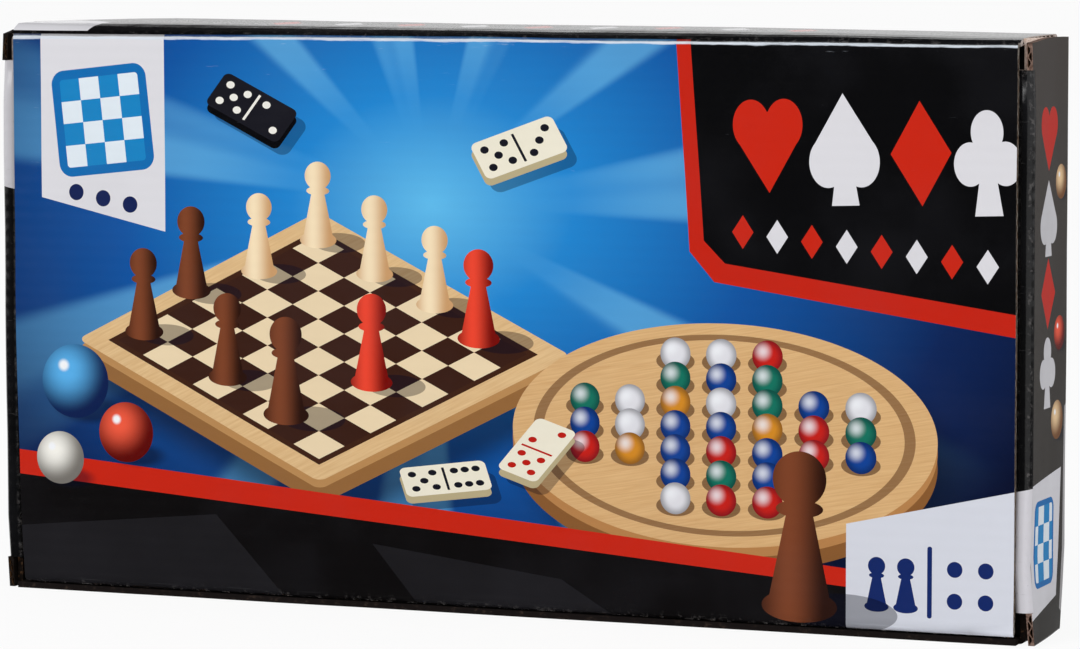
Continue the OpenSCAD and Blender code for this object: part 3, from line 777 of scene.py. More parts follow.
def heart(here):
    """A heart about one unit high; turned round it is the leaf of a spade."""
    lobes = [disc(motif(here, (side * 0.24, 0.2)), 0.27) for side in (-1, 1)]
    return either(*lobes, polygon(here, (0, -0.52), (0.485, 0.08), (0, 0.34), (-0.485, 0.08)))


def diamond(here):
    return lozenge(here, 0.86, 1.1)


def stem(here):
    return polygon(here, (-0.2, -0.6), (0.2, -0.6), (0.04, 0.2), (-0.04, 0.2))


def spade(here):
    return either(heart(motif(here, (0, 0.06), 180)), stem(here))


def club(here):
    places = (0, 0.27, 0.23), (-0.25, -0.06, 0.23), (0.25, -0.06, 0.23), (0, 0.04, 0.12)
    leaves = [disc(motif(here, (x, y)), radius) for x, y, radius in places]
    return either(*leaves, stem(here))


FIVE = [(x, y) for x in (-9.6, -3.4) for y in (-3.2, 3.2)] + [(-6.5, 0)]
THREE = [(3.4, -3.2), (6.5, 0), (9.6, 3.2)]
TWO = [(3.4, 3.2), (9.6, -3.2)]
SIX = [(x, y) for x in (3.2, 6.5, 9.8) for y in (-3.2, 3.2)]
print("painters: pegs, marble, domino, heart, spade, club")

# %% [markdown]
# ## Front print
# The lid's design, from back to front: the burst, a chequered board with turned pegs, a round board with
# marbles in its hollows, dominoes, the black block with the card suits, the white tag, the red stripe, the
# black band and the white label. Lengths are millimetres on the lid, from its middle and from its lower edge.
# Each layer is kept with the box that it reaches, so that a field can leave out the layers that don't touch
# it.

# %% Boards in the front print
def burst(sheet, below, middle):
    """Blue light that spreads in rays and darkens towards the rim."""
    here = motif(sheet, middle)
    reach = vector("LENGTH", motif(here, size=(1, 0.72)))
    ground = ramp(calc("DIVIDE", reach, 190.0), (0.0, ink(96, 190, 240)), (0.22, ink(30, 134, 210)),
                  (0.5, ink(12, 84, 162)), (0.8, ink(12, 38, 90)), (1.0, ink(9, 18, 48)))
    parts = axes(here)
    turn = calc("ARCTAN2", parts[1], parts[0])
    rays = calc("SINE", calc("MULTIPLY_ADD", turn, 11.0, 0.6))
    thin = calc("SINE", calc("MULTIPLY_ADD", turn, 29.0, 2.0))
    rays = fade(calc("MULTIPLY_ADD", thin, 0.35, rays), 0.1, 0.9)
    far = fade(reach, 25, 75)
    gone = fade(reach, 190, 80)
    return over(ground, both(rays, far, gone, 0.42), ink(120, 205, 250))


def wood_grain(sheet, middle, turn):
    return noise(motif(tilted(sheet, middle, turn), (0, 0), 0, (14, 0.8)), 1.0, 4)


def chequered_board(sheet, below, grain, middle):
    x, y = middle
    shadow = tilted(sheet, (x + 4, y - 12), 45)
    away = vector("SUBTRACT", vector("ABSOLUTE", shadow), (48, 48, 0))
    below = dim(below, fade(vector("LENGTH", vector("MAXIMUM", away, (0, 0, 0))), 16, 0), 0.7)
    below = over(below, slab(tilted(sheet, (x, y - 6.5), 45), 106, 106, 3), ink(150, 104, 58))
    below = over(below, slab(tilted(sheet, (x, y - 2.2), 45), 106, 106, 3), ink(188, 140, 86))
    here = tilted(sheet, middle, 45)
    wood = blend_colour(grain, ink(206, 162, 108), ink(240, 208, 158))
    below = over(below, slab(here, 106, 106, 3), wood)
    below = over(below, slab(here, 92.5, 92.5), ink(66, 36, 22))
    field = blend_colour(checks(here, 11), *BOARD_SQUARES)
    return over(below, slab(here, 88, 88), field)


def marble_board(sheet, below, grain, middle, radius):
    x, y = middle
    cast = soft_disc(motif(sheet, (x + 5, y - 9), 0, (1, 0.5)), radius, 9)
    below = dim(below, cast, 0.7)
    for drop, colour in ((6.5, ink(140, 92, 48)), (2.5, ink(186, 132, 78))):
        below = over(below, disc(motif(sheet, (x, y - drop), 0, (1, 0.5)), radius), colour)
    here = motif(sheet, middle, 0, (1, 0.5))
    wood = blend_colour(grain, ink(198, 148, 92), ink(238, 200, 146))
    below = over(below, disc(here, radius), wood)
    groove = both(disc(here, radius - 6), outside(disc(here, radius - 9)))
    return over(below, times(groove, 0.7), ink(104, 62, 30))


def marble_rows(sheet, below, middle):
    """The round board's hollows, 13 apart in a cross, with a glass ball in each."""
    here = motif(sheet, middle, 0, (1, 0.5))
    cells = vector("ADD", scaled(here, 1 / 13), (0.5, 0.5, 0))
    cell = vector("FLOOR", cells)
    inside = vector("SUBTRACT", vector("FRACTION", cells), (0.5, 0.5, 0))
    hollow = both(disc(inside, 0.42), in_cross(cell))
    below = over(below, times(hollow, 0.75), ink(84, 48, 24))
    for row in (0, -1):
        below = glass_balls(below, vector("ADD", cell, (0, row, 0)), motif(inside, (0, row)))
    return below


def in_cross(cell):
    far = axes(vector("ABSOLUTE", cell))
    arm = calc("LESS_THAN", calc("MINIMUM", far[0], far[1]), 1.5)
    return both(arm, calc("LESS_THAN", calc("MAXIMUM", far[0], far[1]), 3.5))


def glass_balls(below, cell, inside):
    """A row nearer to the eye hides part of the one behind."""
    ball = motif(inside, (0, 0.32), 0, (1, 2))
    glass = ramp(draw_lots(cell), (0.0, ink(14, 66, 150)), (0.3, ink(200, 30, 22)),
                 (0.5, ink(226, 226, 232)), (0.72, ink(20, 116, 96)), (0.88, ink(214, 140, 34)))
    glass.node.color_ramp.interpolation = "CONSTANT"
    rim = fade(vector("LENGTH", ball), 0.14, 0.36)
    glass = blend_colour(times(rim, 0.6), glass, SHADE)
    lit = fade(vector("LENGTH", motif(ball, (-0.1, 0.1))), 0.24, 0.0)
    glass = blend_colour(times(lit, 0.7), glass, ink(245, 248, 252))
    return over(below, both(disc(ball, 0.33), in_cross(cell)), glass)


# %% Layers of the front print
layers = []


def layer(low, high, painter, *details, grain=None):
    """Keeps a painter with the lower left and upper right corner of what it prints."""
    layers.append((low, high, painter, details, grain))


def patch(sheet, below, shape, colour, *details):
    """One shape in one colour; the last details place it."""
    return over(below, shape(sheet, *details), colour)


def stamp(sheet, below, shape, colour, middle, turn, size, *details):
    """One shape in one colour, drawn round its own middle."""
    return over(below, shape(motif(sheet, middle, turn, size), *details), colour)


def check_field(sheet, below, middle, turn, width, size, corner, light, dark):
    here = motif(sheet, middle, turn)
    field = blend_colour(checks(here, width), light, dark)
    return over(below, slab(here, *size, corner), field)


def small_layer(middle, reach, painter, *details):
    """A layer that reaches as far to both sides of its middle."""
    x, y = middle
    layer((x - reach[0], y - reach[1]), (x + reach[0], y + reach[1]), painter, *details)


print("layers are laid on in the order of the next cells")

# %% Layers: the boards and what stands on them
layer((-147, -2), (147, 160), burst, (-18, 112))
layer((-130, 4), (28, 116), chequered_board, (-52, 72), grain=((-52, 72), 45))
layer((4, 6), (142, 86), marble_board, (66, 52), 60, grain=((66, 52), 20))
layer((18, 26), (114, 88), marble_rows, (66, 52))
for feet, height, tones in (([(-52, 101), (-70, 92), (-35, 92), (-17, 84)], 23, LIGHT_PEG),
                            ([(-91, 86), (-106, 74), (-80, 62)], 25, DARK_PEG),
                            ([(-4, 75), (-36, 62)], 26, RED_PEG), ([(-62, 52)], 29, DARK_PEG)):
    for x, y in feet:
        high = (x + 0.65 * height, y + height)
        layer((x - 0.3 * height, y - 0.15 * height), high, pegs, [(x, y)], height, *tones)
for x, y, turn, squash, pips, tones in (
    (8, 128, 24, 0.8, FIVE + THREE, PALE_DOMINO), (-72, 138, -32, 0.8, FIVE + TWO, DARK_DOMINO),
    (-14, 37, 12, 0.62, FIVE + SIX, PALE_DOMINO),
    (13, 46, 62, 0.62, FIVE + TWO, (*DOMINO_IVORY, ink(190, 26, 16))),
):
    layer((x - 16, y - 16), (x + 18, y + 15), domino, (x, y), turn, squash, pips, *tones)
print("layers so far:", len(layers))

# %% Layers: the block with the suits, upper right
block = (53, 160), (57, 101), (64, 93), (150, 80), (150, 160)
layer((52, 78), (150, 160), patch, polygon, ink(198, 34, 16), *block)
layer((56, 84), (150, 160), patch, polygon, BLACK, (57, 160), (61, 104), (67, 98), (150, 86), (150, 160))
suits = (79, 130, heart, RED), (100, 129, spade, WHITE_CARD), (139, 127, club, WHITE_CARD)
for x, y, shape, colour in suits:
    small_layer((x, y), (12, 17), stamp, shape, colour, (x, y), 2, (19, 25))
small_layer((121, 128), (11, 16), stamp, lozenge, RED, (121, 128), 2, (1, 1), 16.5, 27.5)
for i in range(8):
    middle = (72 + 9.6 * i, 106.5 - 1.1 * i)
    small_layer(middle, (3.5, 5), stamp, lozenge, (RED, WHITE_CARD)[i % 2], middle, 0, (1, 1), 6, 9)
print("layers so far:", len(layers))

# %% Layers: the white tag, upper left
tag = (-118.5, 134)
layer((-140, 101), (-97, 160), patch, polygon, WHITE_CARD, (-138, 160), (-138, 112), (-99, 103), (-99, 160))
layer((-136, 115), (-101, 153), stamp, slab, TAG_BLUE, tag, 6, (1, 1), 30, 30, 4)
layer((-134, 118), (-103, 150), check_field, tag, 6, 6.2, (24.8, 24.8), 1, *TAG_SQUARES)
for i in range(3):
    middle = (-127 + 8.5 * i, 113.6 - 1.6 * i)
    small_layer(middle, (3, 3), stamp, disc, ink(20, 34, 84), middle, 0, (1, 1), 2.3)
print("layers so far:", len(layers))

# %% Layers: the stripe, the band and the label along the lower edge
layer((-147, -2), (147, 41), patch, side_of, RED, (147, 14), (-147, 40))
layer((-147, -2), (147, 34), patch, side_of, ink(15, 13, 14), (147, 9.5), (-147, 33))
layer((-147, -2), (-60, 25), patch, polygon, ink(30, 29, 32), (-147, -1), (-60, -1), (-84, 24), (-147, 18))
layer((-36, -2), (40, 18), patch, polygon, ink(30, 29, 32), (-20, -1), (40, -1), (20, 11), (-36, 18))
layer((100, -2), (147, 42), patch, polygon, ink(216, 219, 229), (101, -2), (150, -2), (150, 41), (101, 30))
layer((123, 4), (125, 26), stamp, slab, NAVY, (124, 15.5), 0, (1, 1), 1.3, 19, 0.6)
layer((105, 6), (122, 23), pegs, [(109.5, 8), (117.5, 8)], 14, NAVY, NAVY, 0)
for x, y in ((-1, -1), (1, -1), (-1, 1), (1, 1)):
    middle = (135 + 4.2 * x, 15 + 4.2 * y)
    small_layer(middle, (3, 3), stamp, disc, NAVY, middle, 0, (1, 1), 2.1)
layer((-140, 46), (-112, 72), marble, (-128, 60), 10.5, *BLUE_GLASS)
layer((-122, 35), (-98, 56), marble, (-112, 46), 8.5, *RED_GLASS)
layer((-142, 28), (-120, 47), marble, (-133, 38), 7.5, ink(120, 116, 110), ink(250, 248, 240))
layer((74, -2), (118, 50), pegs, [(88, 6)], 44, *DARK_PEG)
print("layers of the front print:", len(layers))


# %% Fields of the front print
def paint_field(column, row):
    """The painter of one field: only the layers whose box reaches it, with a margin for the bent board."""
    width, height, margin = LID_LENGTH / COLUMNS, TOP / ROWS, 9
    left, low = width * column - LID_LENGTH / 2 - margin, height * row - margin
    right, high = left + width + 2 * margin, low + height + 2 * margin
    chosen = []
    for (x0, y0), (x1, y1), *job in layers:
        if x0 < right and x1 > left and y0 < high and y1 > low:
            chosen.append(job)

    def paint():
        sheet = flat_place(0, 2)
        grains = [grain and wood_grain(sheet, *grain) for _, _, grain in chosen]
        sheet = after(sheet, *filter(None, grains))
        colour = None
        for (painter, details, _), grain in zip(chosen, grains):
            colour = painter(sheet, colour, *filter(None, [grain]), *details)
        return colour

    return paint


# %% [markdown]
# ## Glossy printed board
# The paper is printed, then varnished. Three things show that it isn't a flat plastic sheet: the flutes below
# press faint ripples through the paper, the varnish is not quite even, and every fold is rubbed pale where
# the ink has cracked. On the lid's upper fold a pale line is partly rubbed ink and partly a painted highlight,
# with painted shade above it. The normal tells where a fold is: on a flat panel it points along one axis, and
# between two it is a bend.

# %% Glossy printed board
FLUTE_PITCH = 3.5


def fold_rub(here, colour, amount=0.5):
    """Cracked ink on the bends: pale paper in short breaks."""
    parts = axes(vector("ABSOLUTE", object_facing()))
    bend = fade(either(*parts), 0.985, 0.86)
    breaks = fade(noise(here, 0.55, 5, 0.75), 0.52, 0.66)
    return over(colour, both(bend, breaks, amount), ink(196, 190, 188))


def printed(name, paint, ripple_axis, rub=0.5):
    """paint() gives the design; ripple_axis is the axis across the flutes."""
    finish = new_finish(name, roughness=0.25, specular=0.3)
    colour = paint()
    here = object_place()
    cloud = fade(noise(here, 0.035, 3, 0.5), 0.4, 0.75)
    colour = over(colour, times(cloud, 0.04), ink(90, 90, 100))
    colour = fold_rub(here, colour, rub)
    put("Base Color", colour)
    fine = noise(here, 1.6, 3, 0.6)
    put("Roughness", fade(fine, 0.3, 0.75, 0.14, 0.24))
    along = axes(here)[ripple_axis]
    ripple = calc("SINE", times(along, 2 * math.pi / FLUTE_PITCH))
    dents = noise(here, 0.05, 2, 0.5)
    height = calc("MULTIPLY_ADD", ripple, 0.035, dents)
    height = calc("MULTIPLY_ADD", fine, 0.03, height)
    put_bump(height, 0.45)
    return finish


def upper_crease(colour):
    """On the lid's upper fold: a pale line that is partly rubbed ink and partly a painted highlight, painted
    shade on the fold above it, and black on the fold's upper part.
    """
    upward = axes(object_facing())[2]
    here = object_place()
    wander = noise(motif(here, size=(9, 1)), 1.0, 4, 0.6)
    line = calc("MULTIPLY_ADD", wander, 0.3, calc("SUBTRACT", upward, 0.15))
    # Painted shade: the print is darkened on the fold above the pale line.
    colour = over(colour, times(fade(line, 0.2, 0.3), 0.65), BLACK)
    # The pale line is partly ink rubbed off the crease and partly a painted highlight along the fold.
    pale = both(fade(line, 0.06, 0.14), fade(line, 0.46, 0.34))
    pale = times(pale, fade(wander, 0.2, 0.6, 0.45, 0.9))
    colour = over(colour, pale, ink(214, 222, 232))
    return over(colour, fade(upward, 0.62, 0.72), BLACK)


def creased(paint):
    return lambda: upper_crease(paint())


print("the flutes press ripples", FLUTE_PITCH, "mm apart through the print")


# %% Painters of the other panels
WALL_HEIGHT = 158.0


def paint_top():
    """The top: black, with a darker front edge, a white corner from the tag and a row of lozenges."""
    sheet = flat_place(0, 1)
    colour = over(ink(14, 13, 16), side_of(sheet, (-98, 18), (-102, -18)), BLACK)
    colour = over(colour, side_of(sheet, (160, -14.6), (-160, -10.6)), DEEP_BLACK)
    white = both(side_of(sheet, (-124, -18), (-118, 18)), side_of(sheet, (-116, -9), (-152, 15)))
    colour = over(colour, white, TAG_WHITE)
    for i in range(9):
        here = motif(sheet, (-70 + 19 * i, 1.5))
        colour = over(colour, lozenge(here, 9, 14), (ink(190, 32, 16), ink(205, 204, 208))[i % 2])
    return over(colour, side_of(sheet, (160, -15.2), (-160, -16.4)), DEEP_BLACK)


def paint_end():
    """The end walls: dark grey, with a tag beside the label, suits, marbles and a pale back edge."""
    sheet = flat_place(1, 2)
    upward = calc("DIVIDE", axes(sheet)[1], WALL_HEIGHT)
    colour = ramp(upward, (0.0, ink(47, 44, 41)), (1.0, ink(66, 60, 56)))
    colour = over(colour, polygon(sheet, (-19, 6), (9, 10), (12, 44), (-19, 41)), ink(216, 215, 221))
    here = motif(sheet, (-3, 25.5))
    squares = checks(here, 5.0)
    colour = over(colour, slab(here, 17.4, 23, 3), TAG_BLUE)
    colour = over(colour, slab(here, 14.9, 19.9, 1), blend_colour(squares, *TAG_SQUARES))
    for i, (up, shape) in enumerate(((132, heart), (111, spade), (91, diamond), (71, club))):
        mask = shape(motif(sheet, (-1, up), 0, (15, 17)))
        colour = over(colour, mask, (ink(196, 34, 18), ink(206, 205, 210))[i % 2])
    balls = (10, 120, 4.6, WOODEN_BALL), (9.5, 80, 4.6, RED_GLASS), (8, 57, 5.2, WOODEN_BALL)
    for x, y, radius, tones in balls:
        colour = marble(sheet, colour, (x, y), radius, *tones)
    pale = polygon(sheet, (13.2, 6), (19, 3), (19, 62), (14.6, 60))
    return over(colour, pale, ink(170, 168, 170))


def paint_strips():
    """The roll strips: black; the white of the tag runs over at the left, that of the label at the right, and
    pale flecks at dents are partly scuffed ink and partly painted sheen.
    """
    sheet = flat_place(0, 2)
    low_right = polygon(sheet, (100, 6), (152, 6), (152, 41.3), (100, 30))
    colour = over(ink(11, 11, 12), low_right, ink(210, 208, 214))
    high_left = polygon(sheet, (-152, 115), (-138, 112), (-138, 160), (-152, 160))
    colour = over(colour, high_left, ink(200, 198, 203))
    here = object_place()
    # Pale grey flecks where the strip is dented: partly scuffed ink, partly a painted sheen of the dents.
    dents = noise(motif(here, size=(6, 0.7)), 1.0, 4, 0.7)
    return over(colour, times(fade(dents, 0.62, 0.7), 0.2), ink(92, 90, 90))


def paint_base():
    """The back: the blue of the front inside a black border, with a red bar, suits, a small chequered board,
    dominoes, marbles and a white line.
    """
    sheet = flat_place(0, 2)
    colour = burst(sheet, None, (30, 84))
    colour = over(colour, outside(slab(motif(sheet, (0, 79)), 274, 130, 6)), ink(12, 12, 14))
    colour = over(colour, slab(motif(sheet, (0, 27)), 250, 9, 4), ink(203, 38, 16))
    for i, shape in enumerate((heart, spade, diamond, club)):
        colour = over(colour, shape(motif(sheet, (96 - 24 * i, 120), 0, (-18, 22))), WHITE_CARD)
    here = motif(sheet, (-62, 90))
    squares = checks(here, 10)
    colour = over(colour, slab(here, 92, 92, 3), ink(214, 174, 120))
    colour = over(colour, slab(here, 80, 80), blend_colour(squares, *BOARD_SQUARES))
    colour = domino(sheet, colour, (20, 72), 14, 1.0, FIVE + THREE, *PALE_DOMINO)
    colour = domino(sheet, colour, (54, 62), -24, 1.0, FIVE + SIX, *DARK_DOMINO)
    colour = marble(sheet, colour, (88, 68), 10, *RED_GLASS)
    colour = marble(sheet, colour, (110, 54), 8, *BLUE_GLASS)
    return over(colour, slab(motif(sheet, (60, 98)), 120, 1.2), WHITE_CARD)


def paint_black():
    here = object_place()
    return blend_colour(noise(here, 0.3, 3), ink(11, 11, 12), ink(16, 15, 16))


print("painters for the top, the ends, the strips, the back and plain black")

# %% Finishes of the prints
prints = {
    "tuck_flap": printed("plain_black_print", paint_black, 1),
    "top_wall": printed("top_print", paint_top, 1, 0.06),
    "base_panel": printed("back_print", paint_base, 2),
    "right_outer_wall": printed("end_print", paint_end, 2, 0.3),
    "right_roll_strip": printed("strip_print", paint_strips, 2, 0.12),
}
prints["bottom_wall"] = prints["tuck_flap"]
prints["left_outer_wall"] = prints["right_outer_wall"]
prints["left_roll_strip"] = prints["right_roll_strip"]
front_prints = []
for row in range(ROWS):
    for column in range(COLUMNS):
        paint = paint_field(column, row)
        name = f"front_print_{column + 1}_{row + 1}"
        front_prints.append(printed(name, creased(paint) if row == ROWS - 1 else paint, 2, 0.08))
print("prints:", sorted({finish.name for finish in prints.values()}), "and", len(front_prints), "fields")

# %% [markdown]
# ## Bare board
# Where the sheet is cut, the brown liners and the wavy paper between them show. The knife drags black ink
# over the cut, more at the front, and leaves loose pale fibres. Low on the carton the cuts and the dust flaps
# are darker. The faces inside the flutes carry painted shade, and the upper dust flaps painted light. The
# inside of the carton is plain brown paper with dark flecks, and a band of print runs round from outside onto
# the inner end walls.

# %% Bare board
def bare_board(name, pale, dark, dark_share, fleck=0.5, fibre=(112, 80, 52)):
    """dark_share is how much of the board is dark, as a number or as a mask painter."""
    finish = new_finish(name, roughness=0.85, specular=0.12)
    here = object_place()
    fibres = noise(here, 1.1, 6, 0.72)
    colour = blend_colour(fade(fibres, 0.35, 0.68), ink(*fibre), pale)
    share = dark_share(here) if callable(dark_share) else dark_share
    patches = noise(here, 0.45, 4, 0.7)
    stained = fade(calc("ADD", patches, share), 0.92, 1.08)
    colour = over(colour, stained, dark)
    flecks = fade(noise(here, 0.8, 5, 0.8), 0.64, 0.72)
    colour = over(colour, times(flecks, fleck), ink(210, 192, 172))
    put("Base Color", colour)
    put_bump(fibres, 0.08)
    return finish


def dark_low(here):
    """Darker towards the bottom."""
    return fade(axes(here)[2], 120, 12, 0.3, 0.62)


def dark_front(here):
    """The carton's printed rim shows on the inside for a few millimetres behind the roll strips."""
    return fade(axes(here)[1], -6.5, -8.5, 0.0, 0.9)


KRAFT, INK_BLACK = ink(164, 126, 92), ink(24, 17, 13)
cuts = {
    "lid_panel": bare_board("lid_cut", ink(156, 150, 142), ink(46, 43, 40), 0.42, 0.8, (104, 96, 88)),
    "top_wall": bare_board("upper_cut", ink(222, 214, 210), ink(84, 62, 54), 0.3, 0.6, (176, 162, 154)),
    "bottom_wall": bare_board("lower_cut", ink(64, 52, 44), ink(22, 16, 15), 0.62, 0.14, (44, 34, 30)),
    "right_outer_wall": bare_board("wall_cut", ink(144, 120, 108), ink(40, 22, 15), 0.42, 0.5, (86, 62, 52)),
    "left_outer_wall": bare_board("far_wall_cut", ink(58, 54, 52), INK_BLACK, 0.6, 0.05, (36, 32, 30)),
    "right_roll_strip": bare_board("strip_cut", ink(190, 176, 168), INK_BLACK, 0.3, 0.8, (120, 104, 94)),
    "base_panel": bare_board("inner_cut", KRAFT, ink(96, 66, 42), 0.1, 0.4),
}
cuts["left_roll_strip"] = cuts["right_roll_strip"]
cuts["tuck_flap"] = cuts["base_panel"]
print("bare boards:", sorted({finish.name for finish in cuts.values()}))

# %% Slots of the panels
inner_paper = bare_board("inner_paper", KRAFT, ink(112, 82, 56), -0.1, 0.15)
# Inside the open flutes the paper is made near-black brown: painted shade in the hollow channels.
flute_hollow_shade = bare_board("flute_hollow_shade", ink(42, 28, 20), ink(16, 11, 8), 0.35, 0.0)
for node, panel in panels.items():
    design = front_prints if node == "lid_panel" else [prints[node]]
    lining = cuts[node] if node in ("left_outer_wall", "bottom_wall") else inner_paper
    for finish in [cuts[node], *design, flute_hollow_shade, lining]:
        panel.data.materials.append(finish)
print("the lid has", len(panels["lid_panel"].data.materials), "slots, the other panels 4")


# %% Bare board on the CAD's own pieces
def finish_nodes(finish, *names):
    """Gives the CAD's own pieces a finish."""
    for name in names:
        mesh = bpy.data.objects[name].data
        mesh.materials.clear()
        mesh.materials.append(finish)
        for face in mesh.polygons:
            face.material_index = 0


rolled_paper = bare_board("rolled_inner_paper", KRAFT, ink(14, 12, 12), dark_front, 0.2)
finish_nodes(rolled_paper, "left_inner_wall", "right_inner_wall")
# The upper dust flaps lie in shade under the top wall, so their paper is made almost white to show pale there:
# painted light.
upper_flaps_painted_light = bare_board("upper_flap_painted_light", ink(244, 228, 218), ink(150, 122, 106), 0.1, 0.5, (196, 170, 154))
finish_nodes(upper_flaps_painted_light, "upper_left_dust_flap", "upper_right_dust_flap")
dark_flaps = bare_board("lower_flap_paper", ink(120, 84, 56), INK_BLACK, dark_low, 0.4)
finish_nodes(dark_flaps, "lower_left_dust_flap", "lower_right_dust_flap")
print("bare board on", len(panels) + 6, "pieces")

# %% [markdown]
# ## Wooden case
# In the carton lies the folding case: two boards of three-layer plywood on pine rails. Outside it is printed
# as a chessboard and inside as a backgammon field, half of each on either board, so that the opened case is
# the whole. These pieces are rigid and right as packed, so they stay and only get a finish. Wood is drawn in
# two steps: year rings are bands round a far pith line that runs along the grain, made wavy by a noise, and
# the pores are a fine noise that is stretched along the grain.

# %% Wood
def wood_colour(here, pale, dark, grain_axis, ring_width, ring_share=0.55, pore_share=0.35):
    """Hands back the colour and the pores."""
    squeeze = [0.05 if axis == grain_axis else 1.0 for axis in range(3)]
    stretched = vector("MULTIPLY", here, squeeze)
    wander = noise(stretched, 0.12, 3, 0.5)
    pores = noise(stretched, 1.9, 4, 0.7)
    pith = [0.0 if axis == grain_axis else 47.0 for axis in range(3)]
    outward = [0.0 if axis == grain_axis else 1.0 for axis in range(3)]
    away = vector("LENGTH", vector("MULTIPLY", vector("ADD", here, pith), outward))
    turns = calc("MULTIPLY_ADD", wander, 9.0, calc("DIVIDE", away, ring_width / (2 * math.pi)))
    rings = fade(calc("SINE", turns), -0.5, 0.95)
    fine = times(fade(pores, 0.4, 0.72), pore_share)
    share = calc("MULTIPLY_ADD", rings, ring_share, fine)
    return blend_colour(share, pale, dark), pores


def wooden(name, pale, dark, grain_axis, ring_width, roughness=0.5, coat=0.0, wear=0.0):
    """Plain or lacquered wood; wear shows the paler wood in patches."""
    finish = new_finish(name, specular=0.4, coat=coat, coat_roughness=0.15)
    here = object_place()
    colour, pores = wood_colour(here, pale, dark, grain_axis, ring_width)
    patches = fade(noise(here, 0.35, 3, 0.6), 0.58, 0.72)
    colour = over(colour, times(patches, wear), ink(226, 186, 138))
    put("Base Color", colour)
    put("Roughness", fade(pores, 0.3, 0.7, roughness - 0.08, roughness + 0.1))
    put_bump(pores, 0.06)
    return finish


PALE_PINE, DARK_PINE = ink(238, 206, 152), ink(196, 146, 90)
pine_along = wooden("pine_along", PALE_PINE, DARK_PINE, 0, 3.4)
pine_across = wooden("pine_across", PALE_PINE, DARK_PINE, 2, 3.4)
for half in ("front", "back"):
    finish_nodes(pine_along, half + "_hinge_rail", half + "_catch_rail")
    finish_nodes(pine_across, half + "_left_rail", half + "_right_rail")
print("pine on eight rails")


# %% Printed plywood
case_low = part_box("front_case_board")[0] / MM
CASE_MIDDLE, SQUARE, POINT_WIDTH, POINT_LENGTH = 0.55, 32.0, 125 / 6, 112.0
INSIDE_END, POINT_FOOT, HALF_FOOT = 135.0, 10.0, 0.46
INNER_FACE, CORE, OUTER_FACE = 12.35, 13.8, 15.25


def chess_side(sheet, wood):
    """Four of the board's eight rows, which start at the hinges, and a line round them."""
    board = motif(sheet, (0, case_low.z))
    rim = 9 * SQUARE - 20
    frame_line = calc("SUBTRACT", slab(board, rim, rim), slab(board, rim - 3, rim - 3))
    squares = both(checks(board, SQUARE), slab(board, 8 * SQUARE, 8 * SQUARE))
    return over(wood, either(squares, frame_line), ink(36, 25, 20))


def points_side(sheet, wood):
    """Six points from each end wall, dark and red in turn."""
    parts = axes(motif(sheet, (0, case_low.z + POINT_FOOT)))
    lane = calc("DIVIDE", parts[1], POINT_WIDTH)
    aside = calc("ABSOLUTE", calc("SUBTRACT", calc("FRACT", lane), 0.5))
    from_wall = calc("DIVIDE", calc("SUBTRACT", INSIDE_END, calc("ABSOLUTE", parts[0])), POINT_LENGTH)
    half_width = calc("MULTIPLY_ADD", from_wall, -HALF_FOOT, HALF_FOOT)
    right_hand = calc("GREATER_THAN", parts[0], 0.0)
    turn = calc("PINGPONG", calc("ADD", calc("FLOOR", lane), right_hand), 1.0)
    tone = blend_colour(turn, ink(44, 24, 18), ink(126, 44, 26))
    return over(wood, calc("LESS_THAN", aside, half_width), tone)


def printed_plywood():
    finish = new_finish("printed_plywood", specular=0.4, coat=0.25, coat_roughness=0.2)
    here = object_place()
    wood, pores = wood_colour(here, ink(240, 216, 172), ink(212, 174, 122), 0, 7.0, 0.3)
    sheet = flat_place(0, 2)
    across = axes(here)[1]
    depth = calc("ABSOLUTE", calc("SUBTRACT", across, CASE_MIDDLE))
    core = calc("LESS_THAN", calc("ABSOLUTE", calc("SUBTRACT", depth, CORE)), 0.5)
    colour = over(wood, times(core, 0.6), ink(140, 98, 60))
    colour = over(colour, calc("GREATER_THAN", depth, OUTER_FACE), chess_side(sheet, wood))
    colour = over(colour, calc("LESS_THAN", depth, INNER_FACE), points_side(sheet, wood))
    put("Base Color", colour)
    put("Roughness", fade(pores, 0.3, 0.7, 0.34, 0.5))
    put_bump(pores, 0.04)
    return finish


finish_nodes(printed_plywood(), "front_case_board", "back_case_board")
print("plywood boards start at z", round(case_low.z, 2), "mm")

# %% [markdown]
# ## Brass, men and dice
# The hinges and the hook are pressed brass, a little dull where hands and air reach them: a metal whose
# colour and roughness wander with a noise. The men and draughts are turned wood, one set pale and one stained
# dark, all under a thin lacquer, and the stain is thin in places. The dice are moulded plastic. Their pips
# are hollows in the solid, so the ink belongs only where the surface lies deeper than a face and isn't one of
# the rounded corners.

# %% Brass, men and dice
DIE, DIE_STEP = 13.0, 13.3


def worn_brass():
    finish = new_finish("worn_brass", specular=0.5, metallic=1.0)
    here = object_place()
    cloud = noise(here, 0.5, 4, 0.65)
    put("Base Color", blend_colour(fade(cloud, 0.4, 0.7), ink(222, 186, 110), ink(158, 118, 62)))
    put("Roughness", fade(noise(here, 2.5, 3, 0.6), 0.3, 0.7, 0.22, 0.44))
    put_bump(noise(motif(here, size=(5, 0.3)), 1.0, 3, 0.6), 0.03)
    return finish


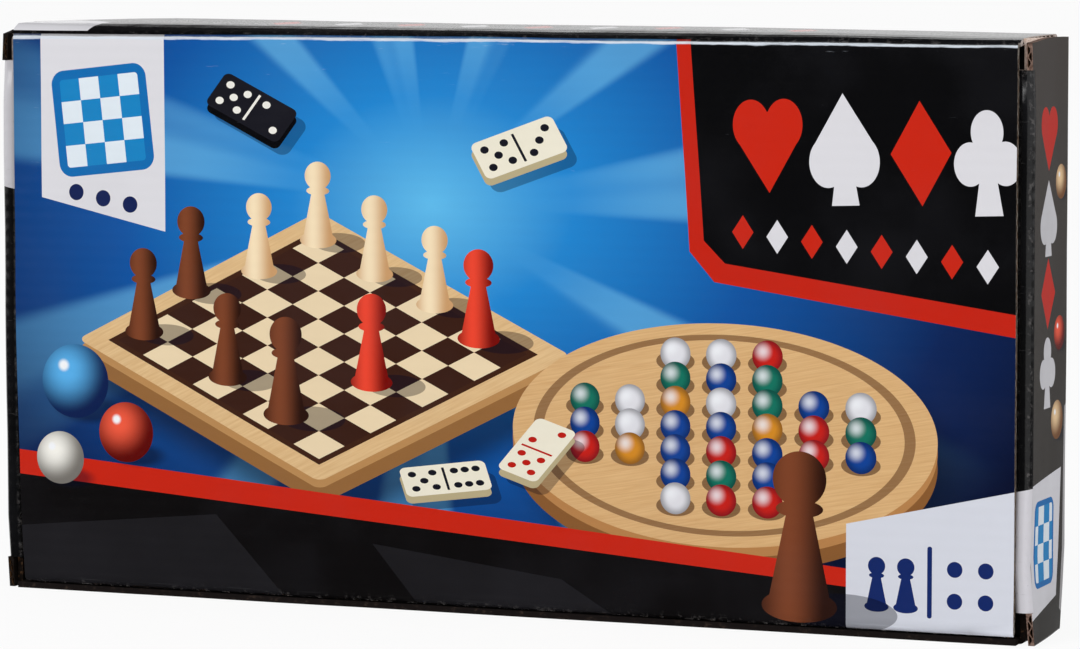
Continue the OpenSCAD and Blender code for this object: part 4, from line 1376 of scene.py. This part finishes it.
def moulded(name, colour, shade, pip_colour, node):
    """Plastic dice, which stand DIE_STEP apart along X; the pattern is worked out round each die's middle."""
    finish = new_finish(name, specular=0.5, coat=0.3, coat_roughness=0.08)
    here = object_place()
    cloud = noise(here, 0.25, 3, 0.5)
    body = blend_colour(fade(cloud, 0.35, 0.7), colour, shade)
    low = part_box(node)[0] / MM
    step = vector("MODULO", vector("SUBTRACT", here, tuple(low)), (DIE_STEP, 100.0, 100.0))
    middle = vector("ABSOLUTE", vector("SUBTRACT", step, (DIE / 2, DIE / 2, DIE / 2)))
    parts = axes(middle)
    below_face = calc("LESS_THAN", either(*parts), DIE / 2 - 0.15)
    hollow = both(below_face, disc(middle, 9.3))
    put("Base Color", over(body, hollow, pip_colour))
    put("Roughness", fade(noise(here, 1.5, 3, 0.6), 0.3, 0.7, 0.24, 0.38))
    put_bump(cloud, 0.05)
    return finish


finish_nodes(worn_brass(), "front_hinge_leaves", "back_hinge_leaves", "hinge_pins", "hinge_screws",
             "catch_hook", "catch_pivot_screw", "catch_stud")
men = ("king", "queen", "bishops", "knights", "rooks", "pawns", "draughts")
pale_wood = wooden("pale_turned_wood", ink(238, 208, 164), ink(204, 160, 110), 0, 2.4, 0.4, 0.35)
dark_wood = wooden("dark_turned_wood", ink(84, 42, 26), ink(34, 15, 10), 0, 2.4, 0.36, 0.45, 0.12)
finish_nodes(pale_wood, *["light_" + kind for kind in men])
finish_nodes(dark_wood, *["dark_" + kind for kind in men])
ivory = moulded("ivory_plastic", ink(240, 232, 208), ink(230, 218, 188), ink(22, 20, 22), "ivory_dice")
finish_nodes(ivory, "ivory_dice", "doubling_cube")
red = moulded("red_plastic", ink(206, 30, 24), ink(184, 22, 18), ink(244, 240, 230), "red_dice")
finish_nodes(red, "red_dice")
print("finishes in all:", len(bpy.data.materials))

# %% [markdown]
# ## Size of the dressed model
# The growth of the bent board over the imported model is worked out from both boxes and printed. The bent
# board must not outgrow the imported model by more than a few millimetres.

# %% Size of the dressed model
visual_box = [list(corner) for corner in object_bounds()]
growth = [round((visual_box[1][axis] - visual_box[0][axis] - cad_box[1][axis] + cad_box[0][axis]) / MM, 2)
          for axis in range(3)]
print("the dressed model is larger by", growth, "mm")
